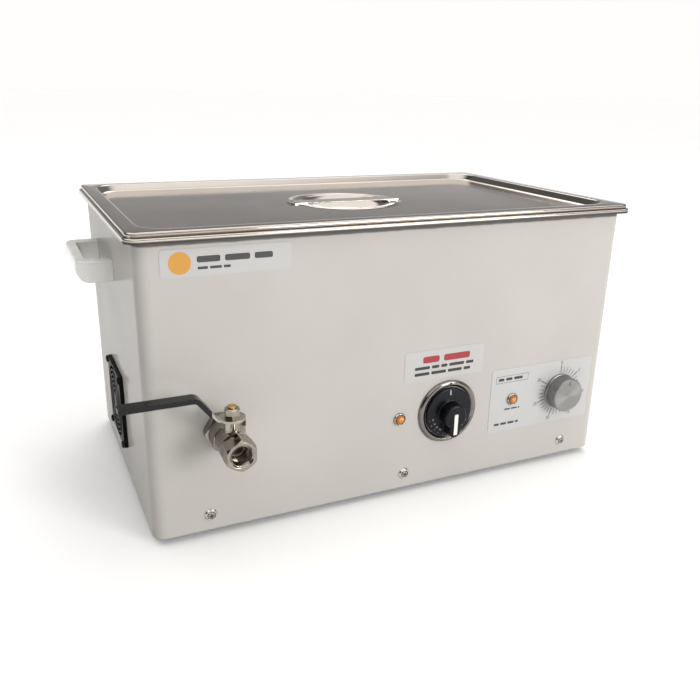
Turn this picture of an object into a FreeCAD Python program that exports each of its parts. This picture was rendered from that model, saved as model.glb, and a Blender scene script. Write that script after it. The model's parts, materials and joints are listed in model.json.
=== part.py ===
import FreeCAD, Part
import math
import os
from FreeCAD import Placement, Rotation, Vector

# Bench-top ultrasonic cleaner with a pressed steel tank, a drain valve, a timer and a thermostat.
# Millimetres. X runs to the right along the front, Y to the back and Z up.
# The origin is on the bench, under the middle of the case.

UP = Vector(0, 0, 1)
DOWN = Vector(0, 0, -1)
TO_BACK = Vector(0, 1, 0)
TO_FRONT = Vector(0, -1, 0)
TO_RIGHT = Vector(1, 0, 0)
TO_LEFT = Vector(-1, 0, 0)

# ---- driving dimensions ----

# Case, folded from steel sheet
CASE_LENGTH = 515.0
CASE_DEPTH = 311.0
CASE_HEIGHT = 278.0
CASE_SHEET = 1.2
CASE_CORNER = 12.0
SHEET_FIT = 0.1

# Tank, deep drawn with a flat rim
TANK_WALL = 1.0
TANK_TO_CASE_SIDE = 6.5
TANK_TO_CASE_FRONT = 4.5
TANK_CORNER = 30.0
TANK_FLOOR_RADIUS = 14.0
RIM_OVERHANG_SIDE = 7.5
RIM_OVERHANG_FRONT = 7.0
RIM_HEIGHT = 4.5
RIM_CORNER = 11.0
RIM_EDGE_RADIUS = 1.6
GASKET_CLEARANCE = 0.8

# Lid, pressed, with a sunk panel and a round finger dish
LID_SHEET = 0.8
LID_INSET = 2.1
LID_LIP_HEIGHT = 4.5
LID_CORNER = 10.0
LID_EDGE_RADIUS = 1.8
LID_TANK_CLEARANCE = 0.9
LID_WALL_LEAN = 2.6
LID_SINK = 7.5
LID_PANEL_CORNER = 26.0
DISH_RADIUS = 50.0
DISH_DEPTH = 14.0
DISH_RING_RADIUS = 57.0
DISH_RING_RISE = 0.7
STRAP_WIDTH = 20.0
STRAP_THICKNESS = 1.2
STRAP_TAB = 9.0

# Screws and nuts of one size, used on the case, the feet and the fan
SCREW_RADIUS = 2.0
SCREW_HEAD_RADIUS = SCREW_RADIUS + 1.9
SCREW_HEAD_HEIGHT = 2.4
SCREW_SHANK = 11.0
NUT_FLATS = 2 * SCREW_RADIUS + 3.0
NUT_HEIGHT = 3.2
NUT_FIT = 0.1

# Feet
FOOT_HEIGHT = 8.0
FOOT_RADIUS = 13.0
FOOT_INSET = 40.0
FOOT_SCREW_SEAT = 4.0

# Base tray and the screws that hold it in the case
BASE_SHEET = 1.2
BASE_LIP_HEIGHT = 26.0
CASE_SCREW_HEIGHT = 16.0
CASE_SCREW_INSET = 50.5
CASE_SCREW_PITCH = CASE_LENGTH / 2 - CASE_SCREW_INSET
CASE_SCREW_SHIFT = 3.0
CUP_RADIUS = SCREW_HEAD_RADIUS + 2.3
CUP_THICKNESS = 2.2
HOLE_CLEARANCE = 0.4
VENT_SLOTS = 9
VENT_LENGTH = 60.0
VENT_WIDTH = 4.0
VENT_PITCH = 11.0

# Side handles
HANDLE_LENGTH = 118.0
HANDLE_HEIGHT = 20.5
HANDLE_REACH = 33.5
HANDLE_BAR = 10.5
HANDLE_LEG = 13.0
HANDLE_SHIFT = 31.0
HANDLE_BELOW_CASE_TOP = 51.0
HANDLE_OUTER_CORNER = 12.0
HANDLE_LOWER_CORNER = 11.0
HANDLE_EDGE = 2.5
HANDLE_SCREW_RADIUS = 2.5
HANDLE_SCREW_HEAD = HANDLE_SCREW_RADIUS + 2.1
HANDLE_SCREW_HEAD_HEIGHT = 2.6
HANDLE_SCREW_SHANK = 14.0
HANDLE_INNER_CORNER = 6.0

# Cooling fan and its guard, on the left side
FAN_SIDE = 80.0
FAN_DEPTH = 25.0
FAN_WALL = 2.0
FAN_HOLE_INSET = 4.25
FAN_HOLE_PITCH = FAN_SIDE - 2 * FAN_HOLE_INSET
FAN_DUCT_RADIUS = FAN_SIDE / 2 - FAN_WALL
FAN_SHIFT = 10.5
FAN_HEIGHT = 76.0
FAN_HUB_RADIUS = 17.0
FAN_BLADES = 7
FAN_TIP_CLEARANCE = 1.0
MOTOR_CUP_DEPTH = 9.0
STRUT_DEPTH = 3.0
FAN_SHAFT_RADIUS = 1.5
GUARD_THICKNESS = 4.2
GUARD_RING_PITCH = 5.0
GUARD_RING_WIDTH = 1.7
GUARD_RINGS = 6

# Drain, from the tank floor to the ball valve on the front
DRAIN_FROM_LEFT = 68.2
DRAIN_HEIGHT = 102.5
DRAIN_FROM_FRONT = 52.0
PIPE_BORE = 7.5
PIPE_WALL = 2.9
PIPE_FIT = 0.1
PIPE_SOCKET = 8.0
PIPE_RADIUS = PIPE_BORE + PIPE_WALL
WALL_NUT_FLATS = 2 * PIPE_RADIUS + 13.2
WALL_NUT_RADIUS = PIPE_RADIUS + 8.2
WALL_NUT_LENGTH = 11.0
FLANGE_RADIUS = PIPE_RADIUS + 9.6
FLANGE_THICKNESS = 2.2
DRAIN_GASKET = 1.5
DRAIN_NUT_HEIGHT = 10.0
DRAIN_NUT_FLATS = 2 * PIPE_RADIUS + 9.2
ELBOW_RADIUS = PIPE_RADIUS + 4.1

# Ball valve, measured along its flow axis from the wall nut
VALVE_SHOULDER_LENGTH = 12.0
VALVE_WAIST_LENGTH = 19.0
VALVE_END_LENGTH = 18.0
OUTLET_THREAD_RADIUS = 9.3
OUTLET_THREAD_LENGTH = 13.0
BALL_RADIUS = 10.5
BALL_BORE = 7.0
SEAT_GAP = 0.08
SEAT_LENGTH = 3.0
SPIGOT_LENGTH = 4.5
TOWER_RADIUS = 7.6
STEM_RADIUS = 3.9
STEM_FIT = 0.06
STEM_SLOT_DEPTH = 3.0
TANG_WIDTH = 4.0
LUG_SPAN = 20.0
LUG_TURN = -12.0
TAB_SPAN = 22.0
STOP_RADIUS = 11.6
STOP_CLEARANCE = 2.0

SEAT_OUTER = BALL_RADIUS + 0.5
SEAT_POCKET = SEAT_OUTER + PIPE_FIT
SPIGOT_RADIUS = SEAT_POCKET + 1.1
THREAD_LEAD_IN = 1.4
VALVE_WALL = 2.3
VALVE_END_WALL = 1.9
VALVE_WAIST_RADIUS = SPIGOT_RADIUS + VALVE_WALL
VALVE_END_FLATS = 2 * (max(OUTLET_THREAD_RADIUS + THREAD_LEAD_IN, SEAT_POCKET) + VALVE_END_WALL)
TOWER_HEIGHT = VALVE_WAIST_RADIUS + 9.1
LUG_BOTTOM = VALVE_WAIST_RADIUS + 2.7
TAB_BOTTOM = VALVE_WAIST_RADIUS + 3.1

# Lever of the valve
LEVER_WIDTH = 10.0
LEVER_THICKNESS = 2.2
LEVER_LENGTH = 94.0
LEVER_RISE = 22.6
LEVER_SLOPE_START = 13.0
LEVER_SLOPE_END = 31.0
LEVER_BEND = 6.0
LEVER_GAP = 0.4
LEVER_NUT_FLATS = 13.0
LEVER_NUT_HEIGHT = 8.6
STEM_ABOVE_NUT = 1.8
STEM_HEIGHT = TOWER_HEIGHT + LEVER_GAP + LEVER_THICKNESS + LEVER_NUT_HEIGHT + STEM_ABOVE_NUT
SLEEVE_WALL = 1.1
SLEEVE_START = 19.0
SLEEVE_FIT = 0.05

# Controls on the front, all on one line
CONTROL_HEIGHT = 80.0
THERMOSTAT_FROM_RIGHT = 206.0
SKIRT_RADIUS = 27.0
SKIRT_CLEARANCE = 1.3
BEZEL_WIDTH = 6.2
BEZEL_BORE = SKIRT_RADIUS + SKIRT_CLEARANCE
BEZEL_RADIUS = BEZEL_BORE + BEZEL_WIDTH
BEZEL_THICKNESS = 4.0
SKIRT_THICKNESS = 5.0
SKIRT_GAP = 1.2
GRIP_WIDTH = 13.0
GRIP_REACH = SKIRT_RADIUS - 3.5
GRIP_HUB_RADIUS = 13.0
GRIP_HEIGHT = 13.0
POINTER_WIDTH = 4.2
POINTER_LENGTH = 23.0
POINTER_THICKNESS = 1.0
THERMOSTAT_WIDTH = 46.0
THERMOSTAT_TALL = 36.0
THERMOSTAT_DEEP = 30.0

TIMER_FROM_RIGHT = 58.0
TIMER_KNOB_RADIUS = 19.4
TIMER_SKIRT_RADIUS = TIMER_KNOB_RADIUS + 1.0
TIMER_KNOB_LENGTH = 16.0
TIMER_KNOB_GAP = 1.0
TIMER_WIDTH = 52.0
TIMER_TALL = 44.0
TIMER_DEEP = 42.0

SHAFT_RADIUS = 3.0
BUSH_RADIUS = 4.8
BUSH_LENGTH = 6.0
SHAFT_FIT = 0.06

LAMP_LENS_RADIUS = 5.2
LAMP_RADIUS = LAMP_LENS_RADIUS + 1.8
LAMP_PROUD = 2.2
LAMP_LENS_PROUD = 4.2
LAMP_LENS_ROOT = 3.0
LAMP_FIT = 0.1
LAMP_BODY_LENGTH = 24.0
LAMP_LEFT_FROM_RIGHT = 262.5
LAMP_RIGHT_FROM_RIGHT = 122.5

# Labels
LABEL_THICKNESS = 0.3
NAMEPLATE_LENGTH = 115.0
NAMEPLATE_HEIGHT = 24.0
NAMEPLATE_FROM_LEFT = 78.0
NAMEPLATE_BELOW_TOP = 19.0
NOTICE_LENGTH = 94.0
NOTICE_HEIGHT = 32.0
NOTICE_FROM_RIGHT = 212.5
NOTICE_ABOVE_BASE = 134.5
PANEL_LENGTH = 136.0
PANEL_HEIGHT = 73.0
PANEL_FROM_RIGHT = 83.5
LABEL_CORNER = 3.0

# Transducers under the tank floor
HORN_TOP_RADIUS = 29.0
HORN_BOTTOM_RADIUS = 22.5
HORN_LENGTH = 28.0
PIEZO_RADIUS = 22.0
PIEZO_BORE = 8.0
PIEZO_THICKNESS = 5.0
BACK_MASS_LENGTH = 17.0
TRANSDUCER_BOLT_RADIUS = 5.0
BOLT_IN_HORN = 14.0
TRANSDUCER_COLUMNS = 3
TRANSDUCER_ROWS = 2
TRANSDUCER_PITCH_X = 122.0
TRANSDUCER_PITCH_Y = 136.0

# Heater pads on the long tank walls, with the sensor bulb under the floor
HEATER_LENGTH = 300.0
HEATER_HEIGHT = 70.0
HEATER_THICKNESS = 1.4
BULB_RADIUS = 3.0
BULB_LENGTH = 76.0
BULB_GAP = 0.2
CAPILLARY_RADIUS = 1.0

# Generator board and its parts, on the base tray
BOARD_LENGTH = 190.0
BOARD_DEPTH = 120.0
BOARD_THICKNESS = 1.6
BOARD_STANDOFF = 10.0
BOARD_X = 0.0
BOARD_Y = 20.0
STANDOFF_RADIUS = 3.5
STANDOFF_HOLE = 1.7
HEATSINK_LENGTH = 110.0
HEATSINK_FINS = 9
HEATSINK_HEIGHT = 34.0
CORE_LENGTH = 42.0
CORE_DEPTH = 36.0
CORE_HEIGHT = 30.0
CAPACITOR_RADIUS = 9.0
CAPACITOR_HEIGHT = 26.0

# Mains inlet on the rear, with a fuse drawer below the socket
INLET_FROM_RIGHT = 80.0
INLET_HEIGHT = 58.0
INLET_WIDTH = 30.8
INLET_TALL = 48.0
INLET_PLATE_WIDTH = 50.0
INLET_PLATE_THICKNESS = 3.0
INLET_DEEP = 24.0
SOCKET_WIDTH = 24.6
SOCKET_TALL = 16.6
SOCKET_DEEP = 16.0
DRAWER_WIDTH = 22.0
DRAWER_TALL = 9.0
DRAWER_DEEP = 18.0
DRAWER_FIT = 0.3
INLET_SCREW_PITCH = 40.0
INLET_SCREW_RADIUS = 1.5

# ---- places that follow from the sizes ----

HALF_LENGTH = CASE_LENGTH / 2
HALF_DEPTH = CASE_DEPTH / 2
FRONT = -HALF_DEPTH
REAR = HALF_DEPTH
LEFT = -HALF_LENGTH
RIGHT = HALF_LENGTH
CASE_BOTTOM = FOOT_HEIGHT
CASE_TOP = CASE_BOTTOM + CASE_HEIGHT
RIM_TOP = CASE_TOP + RIM_HEIGHT
TANK_OUTER_LENGTH = CASE_LENGTH - 2 * TANK_TO_CASE_SIDE
TANK_OUTER_DEPTH = CASE_DEPTH - 2 * TANK_TO_CASE_FRONT
TANK_INNER_LENGTH = TANK_OUTER_LENGTH - 2 * TANK_WALL
TANK_INNER_DEPTH = TANK_OUTER_DEPTH - 2 * TANK_WALL
RIM_LENGTH = CASE_LENGTH + 2 * RIM_OVERHANG_SIDE
RIM_DEPTH = CASE_DEPTH + 2 * RIM_OVERHANG_FRONT
TRAY_TOP = CASE_BOTTOM + BASE_SHEET
CONTROL_Z = CASE_BOTTOM + CONTROL_HEIGHT
DRAIN_X = LEFT + DRAIN_FROM_LEFT
DRAIN_Y = FRONT + DRAIN_FROM_FRONT
DRAIN_Z = CASE_BOTTOM + DRAIN_HEIGHT
ELBOW_TOP = DRAIN_Z + ELBOW_RADIUS + 3.0
TANK_UNDERSIDE = ELBOW_TOP + DRAIN_NUT_HEIGHT + DRAIN_GASKET
THERMOSTAT_X = RIGHT - THERMOSTAT_FROM_RIGHT
TIMER_X = RIGHT - TIMER_FROM_RIGHT
LAMP_XS = (RIGHT - LAMP_LEFT_FROM_RIGHT, RIGHT - LAMP_RIGHT_FROM_RIGHT)
SCREW_XS = [CASE_SCREW_SHIFT + CASE_SCREW_PITCH * step for step in (-1, 0, 1)]
SCREW_Z = CASE_BOTTOM + CASE_SCREW_HEIGHT
FAN_Z = CASE_BOTTOM + FAN_HEIGHT
HANDLE_Z = CASE_TOP - HANDLE_BELOW_CASE_TOP
INLET_X = RIGHT - INLET_FROM_RIGHT
INLET_Z = CASE_BOTTOM + INLET_HEIGHT


# ---- helpers ----

def box(x0, x1, y0, y1, z0, z1):
    """Box between two corners."""
    return Part.makeBox(x1 - x0, y1 - y0, z1 - z0, Vector(x0, y0, z0))


def rod(start, direction, radius, length):
    """Solid round bar from a start point."""
    return Part.makeCylinder(radius, length, start, direction)


def ring(start, direction, outer, inner, length):
    """Round bar with a bore."""
    return rod(start, direction, outer, length).cut(rod(start, direction, inner, length))


def slab(length, depth, corner, z0, z1):
    """Upright block with round vertical corners, centred on the Z axis."""
    block = box(-length / 2, length / 2, -depth / 2, depth / 2, z0, z1)
    return block.makeFillet(corner, edges_along(block, UP))


def edges_along(shape, direction):
    """Straight edges that run along a direction."""
    found = []
    for edge in shape.Edges:
        if isinstance(edge.Curve, Part.Line):
            if abs(edge.Curve.Direction.dot(direction)) > 0.999:
                found.append(edge)
    return found


def edges_at(shape, z):
    """Edges that lie flat at one height."""
    found = []
    for edge in shape.Edges:
        bounds = edge.BoundBox
        if abs(bounds.ZMin - z) < 0.01 and abs(bounds.ZMax - z) < 0.01:
            found.append(edge)
    return found


def hexagon(start, direction, flats, length, turn=0.0):
    """Six-sided bar along a direction, with its flats this far apart."""
    radius = flats / math.sqrt(3.0)
    points = []
    for corner in range(7):
        angle = math.radians(60 * corner + turn)
        points.append(Vector(radius * math.cos(angle), radius * math.sin(angle), 0))
    bar = Part.Face(Part.makePolygon(points)).extrude(Vector(0, 0, length))
    bar.Placement = Placement(start, Rotation(UP, direction))
    return bar


def turned(profile, start, direction):
    """Solid of revolution. The profile is a list of (radius, distance) pairs along the axis."""
    points = [Vector(radius, 0, along) for radius, along in profile]
    points.append(points[0])
    solid = Part.Face(Part.makePolygon(points)).revolve(Vector(0, 0, 0), UP, 360)
    solid.Placement = Placement(start, Rotation(UP, direction))
    return solid


def rounded_path(points, bends):
    """Wire through the points, with an arc of its own radius at each inner one."""
    edges = []
    here = points[0]
    for index in range(1, len(points) - 1):
        corner = points[index]
        back = (points[index - 1] - corner).normalize()
        ahead = (points[index + 1] - corner).normalize()
        half = back.getAngle(ahead) / 2
        radius = bends[index - 1]
        reach = radius / math.tan(half)
        inward = (back + ahead).normalize()
        middle = corner + inward * (radius / math.sin(half) - radius)
        start = corner + back * reach
        end = corner + ahead * reach
        edges.append(Part.LineSegment(here, start).toShape())
        edges.append(Part.Arc(start, middle, end).toShape())
        here = end
    edges.append(Part.LineSegment(here, points[-1]).toShape())
    return Part.Wire(edges)


def bent_rod(points, bends, radius):
    """Round bar along a rounded path."""
    path = rounded_path(points, bends)
    start_direction = points[1] - points[0]
    section = Part.Wire(Part.makeCircle(radius, points[0], start_direction))
    return path.makePipeShell([section], True, False)


def mirrored(shape):
    """The same piece on the other side of the middle."""
    return shape.mirror(Vector(0, 0, 0), TO_RIGHT)


def group(solids):
    """Identical pieces that share one node."""
    return Part.makeCompound(solids)


def cross_recess(centre, direction, size, depth):
    """Cross slot for a screwdriver, cut into a screw head."""
    slot = Part.makeBox(size, size * 0.24, depth, Vector(-size / 2, -size * 0.12, 0))
    other = Part.makeBox(size * 0.24, size, depth, Vector(-size * 0.12, -size / 2, 0))
    cross = slot.fuse(other)
    cross.Placement = Placement(centre, Rotation(UP, direction))
    return cross


def pan_screw(seat, outward, radius, head_radius, head_height, shank):
    """Pan-head screw. Its head stands outward of the seat and its shank runs the other way."""
    profile = [(0, 0), (head_radius, 0), (head_radius, head_height * 0.45)]
    profile += [(head_radius * 0.8, head_height * 0.85), (head_radius * 0.45, head_height), (0, head_height)]
    head = turned(profile, seat, outward)
    screw = head.fuse(rod(seat, outward * -1, radius, shank))
    recess_depth = head_height * 0.5
    recess = cross_recess(seat + outward * (head_height - recess_depth), outward, head_radius, recess_depth)
    return screw.cut(recess)


def nut(start, direction, thread, flats, height):
    """Plain hexagon nut."""
    return hexagon(start, direction, flats, height).cut(rod(start, direction, thread, height))


# ---- case and base ----

def fan_hole_places():
    """Centres of the four fan screws as (y, z)."""
    half = FAN_HOLE_PITCH / 2
    return [(FAN_SHIFT + side * half, FAN_Z + height * half) for side in (-1, 1) for height in (-1, 1)]


def handle_screw_ys():
    """Where the two handle screws sit along the side."""
    half = (HANDLE_LENGTH - HANDLE_LEG) / 2
    return (HANDLE_SHIFT - half, HANDLE_SHIFT + half)


def make_case_shell():
    outer = slab(CASE_LENGTH, CASE_DEPTH, CASE_CORNER, CASE_BOTTOM, CASE_TOP)
    inner_length = CASE_LENGTH - 2 * CASE_SHEET
    inner_depth = CASE_DEPTH - 2 * CASE_SHEET
    inner = slab(inner_length, inner_depth, CASE_CORNER - CASE_SHEET, CASE_BOTTOM, CASE_TOP - CASE_SHEET)
    mouth_length = TANK_OUTER_LENGTH + 2 * GASKET_CLEARANCE
    mouth_depth = TANK_OUTER_DEPTH + 2 * GASKET_CLEARANCE
    mouth = slab(mouth_length, mouth_depth, TANK_CORNER + GASKET_CLEARANCE, CASE_BOTTOM, CASE_TOP)
    shell = outer.cut(inner).cut(mouth)
    holes = []
    through = 2 * CASE_SHEET
    for x in SCREW_XS:
        holes.append(rod(Vector(x, FRONT - 0.5, SCREW_Z), TO_BACK, SCREW_RADIUS + HOLE_CLEARANCE, through))
        holes.append(rod(Vector(x, REAR + 0.5, SCREW_Z), TO_FRONT, SCREW_RADIUS + HOLE_CLEARANCE, through))
    for x in (THERMOSTAT_X, TIMER_X):
        holes.append(rod(Vector(x, FRONT - 0.5, CONTROL_Z), TO_BACK, BUSH_RADIUS + PIPE_FIT, through))
    for x in LAMP_XS:
        holes.append(rod(Vector(x, FRONT - 0.5, CONTROL_Z), TO_BACK, LAMP_LENS_RADIUS + LAMP_FIT, through))
    drain = Vector(DRAIN_X, FRONT - 0.5, DRAIN_Z)
    holes.append(rod(drain, TO_BACK, PIPE_RADIUS + HOLE_CLEARANCE, through))
    holes.append(rod(Vector(LEFT - 0.5, FAN_SHIFT, FAN_Z), TO_RIGHT, FAN_DUCT_RADIUS, through))
    for y, z in fan_hole_places():
        holes.append(rod(Vector(LEFT - 0.5, y, z), TO_RIGHT, SCREW_RADIUS + HOLE_CLEARANCE, through))
    for y in handle_screw_ys():
        radius = HANDLE_SCREW_RADIUS + HOLE_CLEARANCE
        holes.append(rod(Vector(LEFT - 0.5, y, HANDLE_Z), TO_RIGHT, radius, through))
        holes.append(rod(Vector(RIGHT + 0.5, y, HANDLE_Z), TO_LEFT, radius, through))
    half_width = INLET_WIDTH / 2 + SHEET_FIT
    half_tall = INLET_TALL / 2 + SHEET_FIT
    holes.append(box(INLET_X - half_width, INLET_X + half_width, REAR - through, REAR + 0.5,
                     INLET_Z - half_tall, INLET_Z + half_tall))
    for side in (-1, 1):
        start = Vector(INLET_X + side * INLET_SCREW_PITCH / 2, REAR + 0.5, INLET_Z)
        holes.append(rod(start, TO_FRONT, INLET_SCREW_RADIUS + SHEET_FIT, through))
    return shell.cut(Part.makeCompound(holes))


def foot_places():
    """Centres of the four feet."""
    x = HALF_LENGTH - FOOT_INSET
    y = HALF_DEPTH - FOOT_INSET
    return [(side * x, end * y) for side in (-1, 1) for end in (-1, 1)]


def make_base_tray():
    inset = CASE_SHEET + SHEET_FIT
    length = CASE_LENGTH - 2 * inset
    depth = CASE_DEPTH - 2 * inset
    tray = slab(length, depth, CASE_CORNER - inset, CASE_BOTTOM, TRAY_TOP)
    lip_top = TRAY_TOP + BASE_LIP_HEIGHT
    along = length / 2 - CASE_CORNER
    across = depth / 2 - CASE_CORNER
    for end in (-1, 1):
        outer = end * depth / 2
        inner = outer - end * BASE_SHEET
        tray = tray.fuse(box(-along, along, min(outer, inner), max(outer, inner), TRAY_TOP, lip_top))
        outer = end * length / 2
        inner = outer - end * BASE_SHEET
        tray = tray.fuse(box(min(outer, inner), max(outer, inner), -across, across, TRAY_TOP, lip_top))
    holes = []
    for x in SCREW_XS:
        for end in (-1, 1):
            start = Vector(x, end * (HALF_DEPTH + 0.5), SCREW_Z)
            holes.append(rod(start, Vector(0, -end, 0), SCREW_RADIUS + HOLE_CLEARANCE, 5))
    for x, y in foot_places():
        holes.append(rod(Vector(x, y, 0), UP, SCREW_RADIUS + HOLE_CLEARANCE, TRAY_TOP + 1))
    for x, y in standoff_places():
        holes.append(rod(Vector(x, y, 0), UP, STANDOFF_HOLE, TRAY_TOP + 1))
    for bank in (-1, 1):
        for slot in range(VENT_SLOTS):
            y = (slot - (VENT_SLOTS - 1) / 2) * VENT_PITCH
            x = BOARD_X + bank * (BOARD_LENGTH / 2 + VENT_LENGTH / 2 + 18)
            holes.append(box(x - VENT_LENGTH / 2, x + VENT_LENGTH / 2, y - VENT_WIDTH / 2, y + VENT_WIDTH / 2,
                             0, TRAY_TOP + 1))
    return tray.cut(Part.makeCompound(holes))


def make_short_screws():
    screws = []
    for x in SCREW_XS:
        for end in (-1, 1):
            outward = Vector(0, end, 0)
            seat = Vector(x, end * (HALF_DEPTH + CUP_SEAT), SCREW_Z)
            screw = pan_screw(seat, outward, SCREW_RADIUS, SCREW_HEAD_RADIUS, SCREW_HEAD_HEIGHT, SCREW_SHANK)
            screws.append(screw)
    for x, y in foot_places():
        seat = Vector(x, y, FOOT_SCREW_SEAT)
        screws.append(pan_screw(seat, DOWN, SCREW_RADIUS, SCREW_HEAD_RADIUS, SCREW_HEAD_HEIGHT, SCREW_SHANK))
    return group(screws)


def make_small_nuts():
    nuts = []
    inner = HALF_DEPTH - CASE_SHEET - SHEET_FIT - BASE_SHEET
    places = [(Vector(x, end * inner, SCREW_Z), Vector(0, -end, 0)) for x in SCREW_XS for end in (-1, 1)]
    places += [(Vector(x, y, TRAY_TOP), UP) for x, y in foot_places()]
    places += [(Vector(LEFT + CASE_SHEET + FAN_DEPTH, y, z), TO_RIGHT) for y, z in fan_hole_places()]
    for start, direction in places:
        nuts.append(nut(start, direction, SCREW_RADIUS + NUT_FIT, NUT_FLATS, NUT_HEIGHT))
    return group(nuts)


CUP_SEAT = CUP_THICKNESS * 0.35


def make_cup_washers():
    washers = []
    bore = SCREW_RADIUS + HOLE_CLEARANCE
    well = SCREW_HEAD_RADIUS + 0.2
    profile = [(bore, 0), (CUP_RADIUS, 0), (CUP_RADIUS, 0.5), (well + 0.8, CUP_THICKNESS)]
    profile += [(well, CUP_THICKNESS), (well, CUP_SEAT), (bore, CUP_SEAT)]
    for x in SCREW_XS:
        for end in (-1, 1):
            washers.append(turned(profile, Vector(x, end * HALF_DEPTH, SCREW_Z), Vector(0, end, 0)))
    return group(washers)


def make_rubber_feet():
    bore = SCREW_RADIUS + HOLE_CLEARANCE
    well = SCREW_HEAD_RADIUS + 1.3
    profile = [(bore, FOOT_SCREW_SEAT), (well, FOOT_SCREW_SEAT), (well, 0), (FOOT_RADIUS - 2.0, 0)]
    profile += [(FOOT_RADIUS - 0.6, 1.0), (FOOT_RADIUS, FOOT_HEIGHT), (bore, FOOT_HEIGHT)]
    return group([turned(profile, Vector(x, y, 0), UP) for x, y in foot_places()])


# ---- tank and lid ----

def make_tank():
    rim = slab(RIM_LENGTH, RIM_DEPTH, RIM_CORNER, CASE_TOP, RIM_TOP)
    rim = rim.makeFillet(RIM_EDGE_RADIUS, edges_at(rim, RIM_TOP))
    edge = 2 * TANK_WALL
    under = slab(RIM_LENGTH - edge, RIM_DEPTH - edge, RIM_CORNER - TANK_WALL, CASE_TOP, RIM_TOP - TANK_WALL)
    bowl = slab(TANK_OUTER_LENGTH, TANK_OUTER_DEPTH, TANK_CORNER, TANK_UNDERSIDE, RIM_TOP - TANK_WALL)
    bowl = bowl.makeFillet(TANK_FLOOR_RADIUS + TANK_WALL, edges_at(bowl, TANK_UNDERSIDE))
    floor = TANK_UNDERSIDE + TANK_WALL
    space = slab(TANK_INNER_LENGTH, TANK_INNER_DEPTH, TANK_CORNER - TANK_WALL, floor, RIM_TOP)
    space = space.makeFillet(TANK_FLOOR_RADIUS, edges_at(space, floor))
    tank = rim.cut(under).fuse(bowl).cut(space)
    drain = rod(Vector(DRAIN_X, DRAIN_Y, TANK_UNDERSIDE - 1), UP, PIPE_RADIUS + HOLE_CLEARANCE, 4)
    return tank.cut(drain)


def make_rim_gasket():
    margin = CASE_SHEET + 1.0
    length = CASE_LENGTH - 2 * margin
    depth = CASE_DEPTH - 2 * margin
    outer = slab(length, depth, CASE_CORNER, CASE_TOP, RIM_TOP - TANK_WALL)
    mouth_length = TANK_OUTER_LENGTH + 2 * GASKET_CLEARANCE
    mouth_depth = TANK_OUTER_DEPTH + 2 * GASKET_CLEARANCE
    mouth = slab(mouth_length, mouth_depth, TANK_CORNER + GASKET_CLEARANCE, CASE_TOP, RIM_TOP)
    return outer.cut(mouth)


LID_LENGTH = RIM_LENGTH - 2 * LID_INSET
LID_DEPTH = RIM_DEPTH - 2 * LID_INSET
LID_TOP = RIM_TOP + LID_LIP_HEIGHT
LID_PANEL = LID_TOP - LID_SINK
LID_MOUTH_LENGTH = TANK_INNER_LENGTH - 2 * (LID_TANK_CLEARANCE + LID_SHEET)
LID_MOUTH_DEPTH = TANK_INNER_DEPTH - 2 * (LID_TANK_CLEARANCE + LID_SHEET)


def sunk_block(spread, top, bottom):
    """Block with leaning walls that fills the sunk panel, grown outward by a spread."""
    wires = []
    for z, lean in ((top, 0.0), (bottom, LID_WALL_LEAN)):
        length = LID_MOUTH_LENGTH + 2 * spread - 2 * lean
        depth = LID_MOUTH_DEPTH + 2 * spread - 2 * lean
        plate = slab(length, depth, LID_PANEL_CORNER + spread - lean, z, z + 1)
        flat = [face for face in plate.Faces if abs(face.CenterOfMass.z - z) < 0.001][0]
        wires.append(flat.OuterWire)
    return Part.makeLoft(wires, True, True)


def dish_block(spread, top, deeper):
    """Shallow round bowl below the panel, grown outward by a spread."""
    radius = DISH_RADIUS + spread
    depth = DISH_DEPTH + deeper
    floor = radius - 16.0
    points = [Vector(0, 0, top), Vector(radius, 0, top)]
    points += [Vector(floor, 0, top - depth), Vector(0, 0, top - depth)]
    edges = [Part.LineSegment(points[0], points[1]).toShape()]
    bulge = Vector(radius - 5.0, 0, top - depth * 0.62)
    edges.append(Part.Arc(points[1], bulge, points[2]).toShape())
    edges.append(Part.LineSegment(points[2], points[3]).toShape())
    edges.append(Part.LineSegment(points[3], points[0]).toShape())
    return Part.Face(Part.Wire(edges)).revolve(Vector(0, 0, 0), UP, 360)


def make_lid():
    cover = slab(LID_LENGTH, LID_DEPTH, LID_CORNER, RIM_TOP, LID_TOP)
    cover = cover.makeFillet(LID_EDGE_RADIUS, edges_at(cover, LID_TOP))
    edge = 2 * LID_SHEET
    under = slab(LID_LENGTH - edge, LID_DEPTH - edge, LID_CORNER - LID_SHEET, RIM_TOP, LID_TOP - LID_SHEET)
    lid = cover.cut(under).fuse(sunk_block(LID_SHEET, LID_TOP - LID_SHEET, LID_PANEL - LID_SHEET))
    lid = lid.fuse(dish_block(LID_SHEET, LID_PANEL - LID_SHEET / 2, LID_SHEET / 2))
    bead = Part.makeTorus(DISH_RING_RADIUS, DISH_RING_RISE, Vector(0, 0, LID_PANEL))
    lid = lid.cut(sunk_block(0.0, LID_TOP, LID_PANEL)).cut(dish_block(0.0, LID_PANEL, 0.0))
    upper = box(-HALF_LENGTH, HALF_LENGTH, -HALF_DEPTH, HALF_DEPTH, LID_PANEL, LID_TOP)
    gap = STRAP_WIDTH / 2 + 0.2
    strap_lane = box(-HALF_LENGTH, HALF_LENGTH, -gap, gap, LID_PANEL, LID_TOP)
    return lid.fuse(bead.common(upper).cut(strap_lane))


def make_lid_handle_strap():
    half = DISH_RING_RADIUS + STRAP_TAB
    width = STRAP_WIDTH / 2
    strap = box(-half, half, -width, width, LID_PANEL, LID_PANEL + STRAP_THICKNESS)
    ends = edges_along(strap, UP)
    return strap.makeFillet(4.0, ends)


# ---- handles ----

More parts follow.
